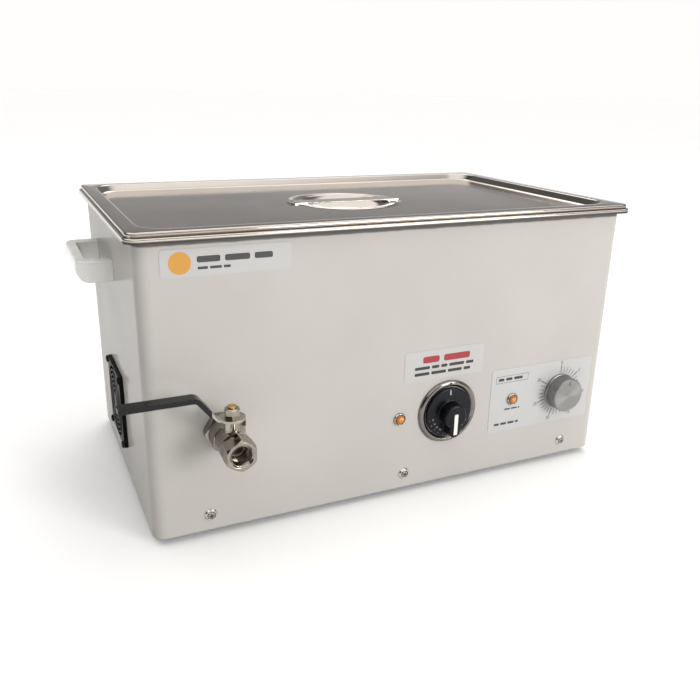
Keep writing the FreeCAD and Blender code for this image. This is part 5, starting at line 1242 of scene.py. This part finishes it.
@dataclass
class PressedLid:
    """Pressed lid: flat border, rounded step down to the panel, bead ring and finger dish."""

    border: float = 13.2
    shoulder: float = 1.7
    foot: float = 2.4
    lean: float = 2.6
    sink: float = 7.5
    lip: float = 4.5
    edge: float = 1.9
    sheet: float = 0.75
    corner: float = 10.0
    panel_corner: float = 26.0
    bead_radius: float = 57.0
    bead_rise: float = 0.35
    dish_radius: float = 50.0
    dish_depth: float = 14.0

    def section(self, top: float) -> list[tuple[float, float, float]]:
        """Return the section from the skirt to the panel.

        Args:
            top: Height of the border.

        Returns:
            Inset, height and corner radius of each point.
        """
        section: list[tuple[float, float, float]] = [(0.0, top - self.lip, self.corner)]
        section.append((0.0, top - self.edge, self.corner))
        for inward, height in arc((self.edge, top - self.edge), self.edge, 180.0, 90.0, 7)[1:]:
            section.append((inward, height, self.corner - inward * 0.6))
        section.append((self.border - 2.5, top, self.panel_corner + 4.0))
        for inward, height in arc((self.border, top - self.shoulder), self.shoulder, 90.0, 12.0, 7):
            section.append((inward, height, self.panel_corner + self.shoulder - (inward - self.border)))
        low = top - self.sink
        start = section[-1][0] + self.lean
        for inward, height in arc((start + self.foot, low + self.foot), self.foot, 192.0, 270.0, 8):
            section.append((inward, height, self.panel_corner - self.lean - (inward - start)))
        section.append((start + self.foot + 4.0, low, self.panel_corner - self.lean - self.foot - 2.0))
        return section

    def build(self) -> None:
        """Draw the lid and put it in place of the CAD one."""
        draft = Draft()
        half_x, half_y, top = high_of("lid")
        rings = []
        last: list[Flat] = []
        for inward, height, corner in self.section(top):
            last = rounded_outline(half_x - inward, half_y - inward, corner)
            rings.append(draft.ring([Vector((x, y, height)) for x, y in last]))
        panel = top - self.sink
        angles = [math.atan2(y, x) for x, y in last]
        reach = [Vector(point).length for point in last]
        for share in (0.35, 0.75):
            mixed = [r + (self.bead_radius + 8.0 - r) * share for r in reach]
            points = [Vector((m * math.cos(a), m * math.sin(a), panel)) for a, m in zip(angles, mixed)]
            rings.append(draft.ring(points))
        for radius, height in self.dish():
            points = [Vector((radius * math.cos(a), radius * math.sin(a), panel + height)) for a in angles]
            rings.append(draft.ring(points))
        rings.append(draft.ring([Vector((0, 0, panel - self.dish_depth))]))
        draft.skin(rings)
        piece = draft.finish("pressed_lid", LID_STEEL, Body.LID, "lid_steel", sharp=60.0)
        sheet = piece.modifiers.new("sheet", "SOLIDIFY")
        sheet.thickness = self.sheet * MM
        sheet.offset = -1.0 if self.faces_up(piece) else 1.0
        self.dress_lip(piece)
        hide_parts("lid")

    def dress_lip(self, piece: bpy.types.Object) -> None:
        """Give the faces of the outer lip their own finish, which carries a painted shade band.

        Args:
            piece: The lid.
        """
        piece.data.materials.append(LIP_STEEL.material())
        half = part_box("lid")[1]
        band = (self.edge + 0.4) * MM
        for face in piece.data.polygons:
            if abs(face.center.x) > half.x - band or abs(face.center.y) > half.y - band:
                face.material_index = 1

    @staticmethod
    def faces_up(piece: bpy.types.Object) -> bool:
        """Return whether the panel's normals point up."""
        return sum(face.normal.z * face.area for face in piece.data.polygons) > 0

    def dish(self) -> list[Flat]:
        """Return the section of the bead and the dish.

        Returns:
            Radius and height over the panel of each point.
        """
        section: list[Flat] = [(self.bead_radius + 8.0, 0.0)]
        for step in range(9):
            turn = math.pi * step / 8
            section.append((self.bead_radius + 1.9 * math.cos(turn), self.bead_rise * math.sin(turn) ** 1.5))
        section += arc((self.dish_radius + 0.6, -1.6), 1.6, 90.0, 160.0, 5)
        section += [(self.dish_radius - 2.6, -5.0), (self.dish_radius - 5.6, -8.6)]
        floor = self.dish_radius - 16.0
        section += arc((floor, -self.dish_depth + 9.0), 9.0, -30.0, -90.0, 6)
        section.append((floor * 0.5, -self.dish_depth))
        return section


@dataclass
class DishStrap:
    """Flat strap over the finger dish, spot-welded at both ends."""

    weld_radius: float = 2.3
    weld_pitch: float = 8.0
    weld_inset: float = 5.0
    weld_steps: tuple[Flat, ...] = ((1.0, -0.02), (0.85, 0.07), (0.55, 0.06), (0.35, 0.01))

    def build(self) -> None:
        """Dress the strap and add its weld marks."""
        dress(STRAP_STEEL, "lid_handle_strap")
        top = high_of("lid_handle_strap")
        draft = Draft()
        for side in (-1, 1):
            for row in (-0.5, 0.5):
                centre = Vector((side * (top.x - self.weld_inset), row * self.weld_pitch, top.z))
                rings = []
                for share, rise in self.weld_steps:
                    circle = arc((centre.x, centre.y), self.weld_radius * share, 0.0, 345.0, 23)
                    rings.append(draft.ring([Vector((x, y, centre.z + rise)) for x, y in circle]))
                rings.append(draft.ring([centre + Vector((0, 0, 0.01))]))
                draft.skin(rings)
        draft.finish("strap_weld_marks", WELD_TINT, Body.LID, "lid_steel", sharp=60.0)


@dataclass
class BathTank:
    """Drawn tank, its rim gasket and the drain fitting in its floor."""

    def build(self) -> None:
        """Dress the tank and what seals it."""
        dress(RIM_STEEL, "tank")
        dress(TANK_STEEL, "drain_fitting")
        dress(GASKET, "rim_gasket", "drain_gasket")


@dataclass
class SideHandles:
    """Moulded handles on both sides."""

    def build(self) -> None:
        """Dress the handles and their screws."""
        dress(HANDLE_PLASTIC, "handle_left", "handle_right")
        dress(ZINC, "handle_screws")


@dataclass
class FanUnit:
    """Cooling fan with its guard on the left side."""

    def build(self) -> None:
        """Dress the fan."""
        dress(GUARD_PLASTIC, "fan_guard")
        dress(BLACK_STEEL, "fan_screws")
        dress(FAN_PLASTIC, "fan_frame", "fan_rotor")


@dataclass
class DrainValve:
    """Drain pipe work, ball valve and its lever."""

    thread_pitch: float = 1.35
    thread_depth: float = 0.45
    thread_turns: int = 7
    thread_start: float = 1.2

    def build(self) -> None:
        """Dress the valve and cut the outlet's thread into view."""
        dress(NICKEL, "drain_wall_nut", "valve_body", "valve_end_cap", "valve_ball", "lever_nut")
        dress(BRASS, "drain_nut", "drain_elbow", "drain_pipe", "drain_lock_nut", "valve_stem")
        dress(SEAT_POLYMER, "valve_seats")
        dress(LEVER_STEEL, "valve_lever")
        dress(SLEEVE_VINYL, "lever_sleeve")
        self.outlet_thread()

    def outlet_thread(self) -> None:
        """Draw the ridges of the thread inside the outlet."""
        middle = middle_of("valve_end_cap")
        mouth = low_of("valve_end_cap").y
        mount = next(item for item in frame["record"]["mounts"] if item["name"] == "drain_outlet")
        bore = mount["dims"]["r_mm"]
        axis = FrontAxis(middle.x, middle.z, 0.0)
        draft = Draft()
        profile: list[Flat] = []
        for turn in range(self.thread_turns):
            start = -mouth - self.thread_start - turn * self.thread_pitch
            profile.append((bore - 0.02, start))
            profile.append((bore - self.thread_depth, start - self.thread_pitch * 0.45))
            profile.append((bore - self.thread_depth, start - self.thread_pitch * 0.58))
        profile.append((bore - 0.02, -mouth - self.thread_start - self.thread_turns * self.thread_pitch))
        back = [(bore + 0.25, profile[-1][1]), (bore + 0.25, profile[0][1])]
        axis.turn(draft, profile + back, 96, closed=True)
        draft.finish("outlet_thread", NICKEL, Body.BASE, "nickel_plate", sharp=20.0)


@dataclass
class Thermostat:
    """Thermostat: bezel on the case, knob with a printed skirt, white pointer, and the body behind."""

    skirt: float = 27.0
    gap: float = 1.2
    rim_height: float = 5.1
    crown: float = 6.15
    hub: float = 13.0
    tail_half: float = 6.5
    tail: float = 23.5
    grip_top: float = 18.85
    rounding: float = 1.7
    first_mark: float = -105.0
    mark_step: float = -15.0
    marks: int = 10
    lowest: int = 30
    number_step: int = 5
    tick_at: Flat = (19.9, 25.0)
    dots_at: float = 24.2
    dot_radius: float = 0.42
    numbers_at: float = 20.3
    number_height: float = 2.3
    ink: float = 0.06
    axis: FrontAxis = field(init=False)

    def __post_init__(self) -> None:
        """Find the axis from the bezel and the case."""
        middle = middle_of("thermostat_bezel")
        self.axis = FrontAxis(middle.x, middle.z, low_of("case_shell").y)

    def build(self) -> None:
        """Dress the fixed pieces and draw the knob."""
        dress(BEZEL_CHROME, "thermostat_bezel")
        dress(PHENOLIC, "thermostat_body")
        dress(ZINC, "thermostat_shaft")
        dress(WHITE_INSERT, "knob_pointer")
        self.knob()
        self.skirt_print()

    def skirt_height(self, radius: float) -> float:
        """Return how far the skirt's face stands in front of the case.

        Args:
            radius: Distance from the axis.

        Returns:
            The distance in front of the case.
        """
        inner, outer = self.hub + 1.5, self.skirt - 1.4
        share = min(1.0, max(0.0, (radius - inner) / (outer - inner)))
        return self.crown + (self.rim_height - self.crown) * share

    def grip_outline(self) -> list[Flat]:
        """Return the grip's outline: a round hub with a tail that points down.

        Returns:
            Its points across the axis.
        """
        neck = math.degrees(math.asin(self.tail_half / self.hub))
        outline = arc((0.0, 0.0), self.hub, -90.0 + neck, 270.0 - neck, 56)
        bend = self.tail_half - 1.2
        drop = -self.tail + bend
        start_z = outline[-1][1]
        for share in (0.35, 0.7):
            outline.append((-self.tail_half, start_z + (drop - start_z) * share))
        outline += arc((-1.2, drop), bend, 180.0, 270.0, 12)
        outline += arc((1.2, drop), bend, 270.0, 360.0, 12)
        for share in (0.7, 0.35):
            outline.append((self.tail_half, start_z + (drop - start_z) * share))
        return outline

    def knob(self) -> None:
        """Draw the knob about its own axis."""
        draft = Draft()
        back = self.gap + 0.1
        profile: list[Flat] = [(3.2, back), (self.skirt - 0.5, back), (self.skirt, back + 0.5)]
        profile.append((self.skirt, self.rim_height - 1.3))
        profile += arc((self.skirt - 1.4, self.rim_height - 1.4), 1.4, 0.0, 90.0, 6)
        profile += [(21.0, self.skirt_height(21.0)), (self.hub + 1.5, self.crown), (0.0, self.crown)]
        self.axis.turn(draft, profile)
        outline = self.grip_outline()
        top = self.grip_top - self.rounding
        foot = ((-1.1, -0.4), (-0.5, 0.15), (-0.12, 0.9), (0.0, 1.8))
        levels = [(amount, self.crown + rise) for amount, rise in foot]
        levels.append((0.35, top))
        levels += [(0.35 + self.rounding * (1 - math.cos(t)), top + self.rounding * math.sin(t))
                   for t in (math.pi / 2 * step / 6 for step in range(1, 7))]
        rings = []
        for amount, proud in levels:
            rings.append(draft.ring([self.on_axis(x, z, proud) for x, z in inset(outline, amount)]))
        draft.skin(rings)
        draft.cap(rings[-1])
        piece = draft.finish("thermostat_grip_knob", KNOB_PLASTIC, Body.THERMOSTAT, "knob_plastic", self.axis.origin(),
                             40.0)
        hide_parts("thermostat_knob")

    def on_axis(self, x: float, z: float, proud: float) -> Vector:
        """Return a point from its place across the axis."""
        return Vector((self.axis.x + x, self.axis.front - proud, self.axis.z + z))

    def on_skirt(self, radius: float, degrees: float, lift: float = 0.02) -> Vector:
        """Return a point just off the skirt's face.

        Args:
            radius: Distance from the axis.
            degrees: Angle clockwise from the top.
            lift: Distance off the face.

        Returns:
            The point.
        """
        return self.axis.at(radius, degrees, self.skirt_height(radius) + lift)

    def skirt_print(self) -> None:
        """Draw the tick, the dots and the numbers on the skirt."""
        tick = Draft()
        lift = Vector((0, -self.ink, 0))
        near, far = self.tick_at
        corners = [(near, -1.25), (near, 1.25), (far, 1.0), (far, -1.0)]
        tick.plate([self.on_skirt(radius, degrees) for radius, degrees in corners], lift)
        tick.finish("thermostat_tick", WHITE_INK, Body.THERMOSTAT, "knob_plastic", self.axis.origin())
        marks = Draft()
        for number in range(self.marks):
            degrees = self.first_mark + self.mark_step * number
            spot = self.on_skirt(self.dots_at, degrees)
            dot = arc((0.0, 0.0), self.dot_radius, 0.0, 330.0, 11)
            marks.plate([spot + Vector((x, 0, z)) for x, z in dot], lift)
            middle = self.on_skirt(self.numbers_at, degrees, 0.03)
            add_number(marks, str(self.lowest + self.number_step * number), middle, self.number_height, self.ink)
        marks.finish("thermostat_numbers", SKIRT_INK, Body.THERMOSTAT, "knob_plastic", self.axis.origin())


@dataclass
class Timer:
    """Clockwork timer: turned knob, dial printed on the panel, and the works behind."""

    skirt: float = 20.3
    side: float = 19.4
    gap: float = 1.05
    length: float = 15.95
    bevel: float = 0.9
    minutes: int = 30
    degrees_a_minute: float = 10.0
    minor: Flat = (21.7, 28.4)
    major: Flat = (21.7, 31.0)
    minor_width: float = 0.6
    major_width: float = 0.9
    numbers_at: float = 34.2
    number_height: float = 3.9
    number_drop: float = 0.6
    numbered: int = 5
    index_at: Flat = (11.6, 16.4)
    axis: FrontAxis = field(init=False)

    def __post_init__(self) -> None:
        """Find the axis from the knob and the case."""
        middle = middle_of("timer_knob")
        self.axis = FrontAxis(middle.x, middle.z, low_of("case_shell").y)

    def build(self) -> None:
        """Dress the works, draw the knob and print the dial."""
        dress(GALVANISED, "timer_body")
        dress(ZINC, "timer_shaft")
        self.knob()
        self.index()
        self.dial()

    def knob(self) -> None:
        """Draw the turned knob about its own axis."""
        end = self.gap + self.length
        draft = Draft()
        skirt = ((-0.2, 0.0), (0.0, 0.25), (0.0, 1.1), (-0.25, 1.45))
        rim = ((0.0, -self.bevel - 0.1), (-0.12, -self.bevel), (0.1 - self.bevel, -0.08), (-self.bevel - 0.05, 0.0))
        groove = ((-2.0, 0.0), (-2.15, -0.12), (-2.45, -0.12), (-2.6, 0.0))
        profile: list[Flat] = [(3.2, self.gap)]
        profile += [(self.skirt + out, self.gap + rise) for out, rise in skirt]
        profile += [(self.side + 0.1, self.gap + 1.75), (self.side, self.gap + 2.1)]
        profile += [(self.side + out, end + rise) for out, rise in rim + groove]
        profile += [(6.0, end - 0.04), (1.2, end - 0.06), (0.0, end - 0.25)]
        self.axis.turn(draft, profile, 160)
        piece = draft.finish("timer_turned_knob", KNOB_ALUMINIUM, Body.TIMER, "turned_aluminium", self.axis.origin(),
                             24.0)
        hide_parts("timer_knob")

    def index(self) -> None:
        """Draw the black index mark on the knob's face."""
        proud = self.gap + self.length - 0.03
        draft = Draft()
        near, far = self.index_at
        corners = [(near, -2.3), (near, 2.3), (far, 1.65), (far, -1.65)]
        draft.plate([self.axis.at(radius, degrees, proud) for radius, degrees in corners], Vector((0, -0.08, 0)))
        draft.finish("timer_index", BLACK_INK, Body.TIMER, "turned_aluminium", self.axis.origin())

    def dial(self) -> None:
        """Print the dial on the panel."""
        ink = Print(low_of("control_panel").y)
        draft = Draft()
        for minute in range(self.minutes + 1):
            ends, width = (self.minor, self.minor_width) if minute % self.numbered else (self.major, self.major_width)
            ink.tick(draft, self.axis, minute * self.degrees_a_minute, *ends, width)
        for minute in range(0, self.minutes + 1, self.numbered):
            turn = math.radians(minute * self.degrees_a_minute)
            across = self.numbers_at * math.sin(turn)
            upward = (self.numbers_at - self.number_drop) * math.cos(turn)
            middle = ink.spot(self.axis.x + across, self.axis.z + upward)
            add_number(draft, str(minute), middle, self.number_height)
        draft.finish("timer_dial_print", GREY_INK, Body.BASE, "panel_film")


@dataclass
class PilotLamps:
    """Two pilot lamps with amber lenses in chrome rims."""

    radius: float = 5.15
    rise: float = 4.2
    root: float = -3.0
    prisms: int = 18
    prism_depth: float = 0.13

    def build(self) -> None:
        """Dress the rims and bodies and draw both lenses."""
        dress(LAMP_CHROME, "lamp_bezels")
        dress(LAMP_PLASTIC, "lamp_bodies")
        low, high = low_of("lamp_lenses"), high_of("lamp_lenses")
        middle = (low.z + high.z) / 2
        front = low_of("case_shell").y
        half = (high.z - low.z) / 2
        for name, x, seat in (("lamp_lens_left", low.x + half, 0.0), ("lamp_lens_right", high.x - half, 0.3)):
            self.lens(name, FrontAxis(x, middle, front - seat))

    def lens(self, name: str, axis: FrontAxis) -> None:
        """Draw one lens with shallow prisms in its dome.

        Args:
            name: Name of the piece.
            axis: Its axis.
        """
        draft = Draft()
        steps = self.prisms * 6
        levels = [(self.radius, self.root), (self.radius, 1.7), (self.radius - 0.15, 2.1), (self.radius - 0.5, 2.6)]
        levels += [(self.radius - 1.2, 3.2), (self.radius * 0.55, 3.75), (self.radius * 0.3, 4.05)]
        rings = []
        for number, (radius, proud) in enumerate(levels):
            depth = self.prism_depth if 3 <= number <= 5 else 0.0
            points = []
            for step in range(steps):
                ripple = depth * math.cos(math.tau * step * self.prisms / steps)
                points.append(axis.at(radius, 360.0 * step / steps, proud + ripple))
            rings.append(draft.ring(points))
        rings.append(draft.ring([axis.at(0.0, 0.0, self.rise - 0.03)]))
        draft.skin(rings)
        piece = draft.finish(name, AMBER, Body.BASE, "lamp_amber", axis.origin(), 50.0)
        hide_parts("lamp_lenses")


@dataclass
class FrontLabels:
    """Films on the front with generic print in place of words and marks."""

    disc_radius: float = 9.6
    disc_at: Flat = (16.5, -12.0)
    name_rows: tuple[Row, ...] = (Row(31.0, 98.0, -12.4, -7.0, 11), Row(31.5, 60.0, -18.3, -16.0, 12))
    notice_bold: tuple[Row, ...] = (Row(-73.0, -17.0, 18.6, 25.6, 21),)
    notice_fine: tuple[Row, ...] = (Row(-82.0, -11.0, 12.0, 15.2, 22), Row(-82.0, -11.0, 5.6, 8.8, 23))
    frame_size: Flat = (42.0, 8.0)
    frame_at: Flat = (6.0, -8.0)
    frame_row: Row = Row(3.0, 39.0, -5.6, -2.4, 31)
    panel_rows: tuple[Row, ...] = (Row(8.0, 40.0, 7.0, 9.6, 32), Row(20.0, 40.0, 24.4, 26.2, 33))

    def build(self) -> None:
        """Dress the films and print them."""
        dress(LABEL_FILM, "front_labels")
        dress(PANEL_FILM, "control_panel")
        low, high = low_of("front_labels"), high_of("front_labels")
        ink = Print(low.y)
        disc = Draft()
        centre = (low.x + self.disc_at[0], high.z + self.disc_at[1])
        ink.plate(disc, arc(centre, self.disc_radius, 0.0, 360.0 - 360.0 / 64, 63))
        disc.finish("name_plate_disc", AMBER_INK, Body.BASE, "label_film")
        self.print_rows(ink, "name_plate_print", GREY_INK, (low.x, high.z), self.name_rows)
        self.print_rows(ink, "notice_bold_print", RED_INK, (high.x, low.z), self.notice_bold)
        self.print_rows(ink, "notice_fine_print", BLACK_INK, (high.x, low.z), self.notice_fine)
        self.panel()

    @staticmethod
    def print_rows(ink: Print, name: str, finish: Finish, corner: Flat, rows: Sequence[Row]) -> None:
        """Print the rows of one colour.

        Args:
            ink: Print on the label's face.
            name: Name of the piece.
            finish: Ink that it is printed in.
            corner: Corner of the label that the rows are placed from.
            rows: The rows.
        """
        draft = Draft()
        for row in rows:
            ink.words(draft, corner, row)
        draft.finish(name, finish, Body.BASE, "label_film")

    def panel(self) -> None:
        """Print the small frame and the lines on the control panel."""
        low, high = low_of("control_panel"), high_of("control_panel")
        ink = Print(low.y)
        draft = Draft()
        left, top = low.x + self.frame_at[0], high.z + self.frame_at[1]
        ink.frame(draft, left, left + self.frame_size[0], top - self.frame_size[1], top, 0.35)
        ink.words(draft, (left, top), self.frame_row)
        for row in self.panel_rows:
            ink.words(draft, (low.x, low.z), row)
        draft.finish("panel_print", GREY_INK, Body.BASE, "panel_film")


@dataclass
class Ultrasonics:
    """Transducers under the tank and the generator board that drives them."""

    def build(self) -> None:
        """Dress the transducers, the board and what stands on it."""
        dress(HORN_ALUMINIUM, "transducer_horns")
        dress(CERAMIC, "piezo_rings")
        dress(BACK_STEEL, "back_masses")
        dress(ZINC, "transducer_bolts")
        dress(BOARD, "generator_board")
        dress(NYLON, "board_standoffs")
        dress(SINK_ALUMINIUM, "heatsink")
        dress(COMPONENTS, "board_components")


@dataclass
class HeatingParts:
    """Heater mats on the tank walls and the thermostat's bulb under its floor."""

    def build(self) -> None:
        """Dress the mats, the bulb and its clips."""
        dress(HEATER_MAT, "heater_pads")
        dress(COPPER, "sensor_bulb")
        dress(CLIP_STEEL, "bulb_clips")


@dataclass
class MainsInlet:
    """Mains inlet with its fuse drawer at the back."""

    def build(self) -> None:
        """Dress the inlet."""
        dress(INLET_BLACK, "inlet_housing", "fuse_drawer")
        dress(BRASS, "inlet_pins")
        dress(ZINC, "inlet_screws")


@dataclass
class Studio:
    """Pale floor, soft light and the camera."""

    eye: tuple[float, float, float] = (-0.3505, -0.7654, 0.4093)
    yaw: float = -25.26
    pitch: float = 19.50
    roll: float = 1.265
    lens: float = 38.52
    key_power: float = 58.0
    fill_power: float = 16.0
    ceiling: float = 1.58
    left_wall: float = 0.12
    key_place: tuple[float, float, float] = (1.35, -2.6, 0.85)
    key_size: float = 1.2
    fill_place: tuple[float, float, float] = (0.9, 1.9, 2.4)
    fill_size: float = 1.6
    aim_height: float = 0.15
    floor_reach: float = 30.0

    def build(self) -> None:
        """Set the floor, the lights and the camera."""
        self.floor()
        self.sky()
        self.light("key_softbox", self.key_place, self.key_size, self.key_power)
        self.light("rear_softbox", self.fill_place, self.fill_size, self.fill_power)
        self.camera()
        bpy.context.scene.view_settings.view_transform = "Standard"

    def floor(self) -> None:
        """Lay the pale floor."""
        recipe = Recipe("studio_floor")
        pale = recipe.blend(recipe.noise(400.0, detail=2.0), tone(246, 246, 246), tone(249, 249, 249))
        recipe.put(base_color=pale, roughness=0.7, specular_ior_level=0.2)
        mesh = bpy.data.meshes.new("studio_floor")
        far = self.floor_reach
        mesh.from_pydata([(-far, -far, 0), (far, -far, 0), (far, far, 0), (-far, far, 0)], [], [(0, 1, 2, 3)])
        mesh.materials.append(recipe.material)
        ground = bpy.data.objects.new("studio_floor", mesh)
        bpy.context.scene.collection.objects.link(ground)

    def sky(self) -> None:
        """Light the room: white at the horizon, grey above it, a dim left wall and a bright ceiling."""
        world = bpy.data.worlds.new("studio")
        bpy.context.scene.world = world
        world.use_nodes = True
        tree = world.node_tree
        tree.nodes.clear()
        place = tree.nodes.new("ShaderNodeTexCoord")
        parts = tree.nodes.new("ShaderNodeSeparateXYZ")
        ramp = tree.nodes.new("ShaderNodeValToRGB")
        ground = tree.nodes.new("ShaderNodeBackground")
        output = tree.nodes.new("ShaderNodeOutputWorld")
        tree.links.new(place.outputs["Generated"], parts.inputs[0])
        tree.links.new(parts.outputs["Z"], ramp.inputs["Fac"])
        tree.links.new(ramp.outputs["Color"], ground.inputs["Color"])
        tree.links.new(ground.outputs[0], output.inputs["Surface"])
        either = tree.nodes.new("ShaderNodeMath")
        either.operation = "MAXIMUM"
        power = tree.nodes.new("ShaderNodeMath")
        power.operation = "MULTIPLY"
        power.inputs[1].default_value = self.ceiling
        steps = {"X": (-0.85, -0.2, self.left_wall, 1.0), "Z": (0.52, 0.64, 0.0, 1.0)}
        for socket, (axis, numbers) in zip(either.inputs, steps.items()):
            step = tree.nodes.new("ShaderNodeMapRange")
            for name, number in zip(("From Min", "From Max", "To Min", "To Max"), numbers):
                step.inputs[name].default_value = number
            tree.links.new(parts.outputs[axis], step.inputs["Value"])
            tree.links.new(step.outputs["Result"], socket)
        tree.links.new(either.outputs[0], power.inputs[0])
        tree.links.new(power.outputs[0], ground.inputs["Strength"])
        top = self.ceiling
        stops = [(0.0, 1.0), (0.097, 1.0), (0.114, 0.33), (0.32, 0.24), (0.52, 0.26), (0.64, top), (1.0, top)]
        while len(ramp.color_ramp.elements) < len(stops):
            ramp.color_ramp.elements.new(0.5)
        for element, (place_at, level) in zip(ramp.color_ramp.elements, stops):
            element.position = place_at
            share = level / top
            element.color = (share, share * 0.99, share * 0.975, 1.0)

    def light(self, name: str, place: tuple[float, float, float], size: float, power: float) -> None:
        """Hang one softbox aimed at the cleaner.

        Args:
            name: Name of the light.
            place: Where it hangs, in metres.
            size: Side of the softbox, in metres.
            power: Power in watts.
        """
        lamp = bpy.data.lights.new(name, "AREA")
        lamp.shape = "SQUARE"
        lamp.size = size
        lamp.energy = power
        lamp.color = (1.0, 0.985, 0.96)
        holder = bpy.data.objects.new(name, lamp)
        holder.location = place
        aim = Vector((0.0, 0.0, self.aim_height)) - holder.location
        holder.rotation_euler = aim.to_track_quat("-Z", "Y").to_euler()
        bpy.context.scene.collection.objects.link(holder)

    def camera(self) -> None:
        """Stand the camera at the viewing angle."""
        yaw, pitch, roll = (math.radians(angle) for angle in (self.yaw, self.pitch, self.roll))
        ahead = Vector((-math.sin(yaw) * math.cos(pitch), math.cos(yaw) * math.cos(pitch), -math.sin(pitch)))
        right = Vector((math.cos(yaw), math.sin(yaw), 0.0))
        up = right.cross(ahead)
        across = right * math.cos(roll) + up * math.sin(roll)
        upward = up * math.cos(roll) - right * math.sin(roll)
        data = bpy.data.cameras.new("front_camera")
        data.lens = self.lens
        data.sensor_width = 36.0
        data.clip_start = 0.01
        data.clip_end = 100.0
        stand = bpy.data.objects.new("front_camera", data)
        turn = Matrix((across, upward, -ahead)).transposed()
        stand.matrix_world = Matrix.Translation(Vector(self.eye)) @ turn.to_4x4()
        bpy.context.scene.collection.objects.link(stand)
        bpy.context.scene.camera = stand


def main() -> None:
    """Build the sub-assemblies in order."""
    logging.basicConfig(level=logging.INFO, format="%(name)s %(message)s")
    for part in (Studio, Housing, BathTank, PressedLid, DishStrap, SideHandles, FanUnit, DrainValve, Thermostat, Timer,
                 PilotLamps, FrontLabels, Ultrasonics, HeatingParts, MainsInlet):
        part().build()


if __name__ == "__main__":
    main()
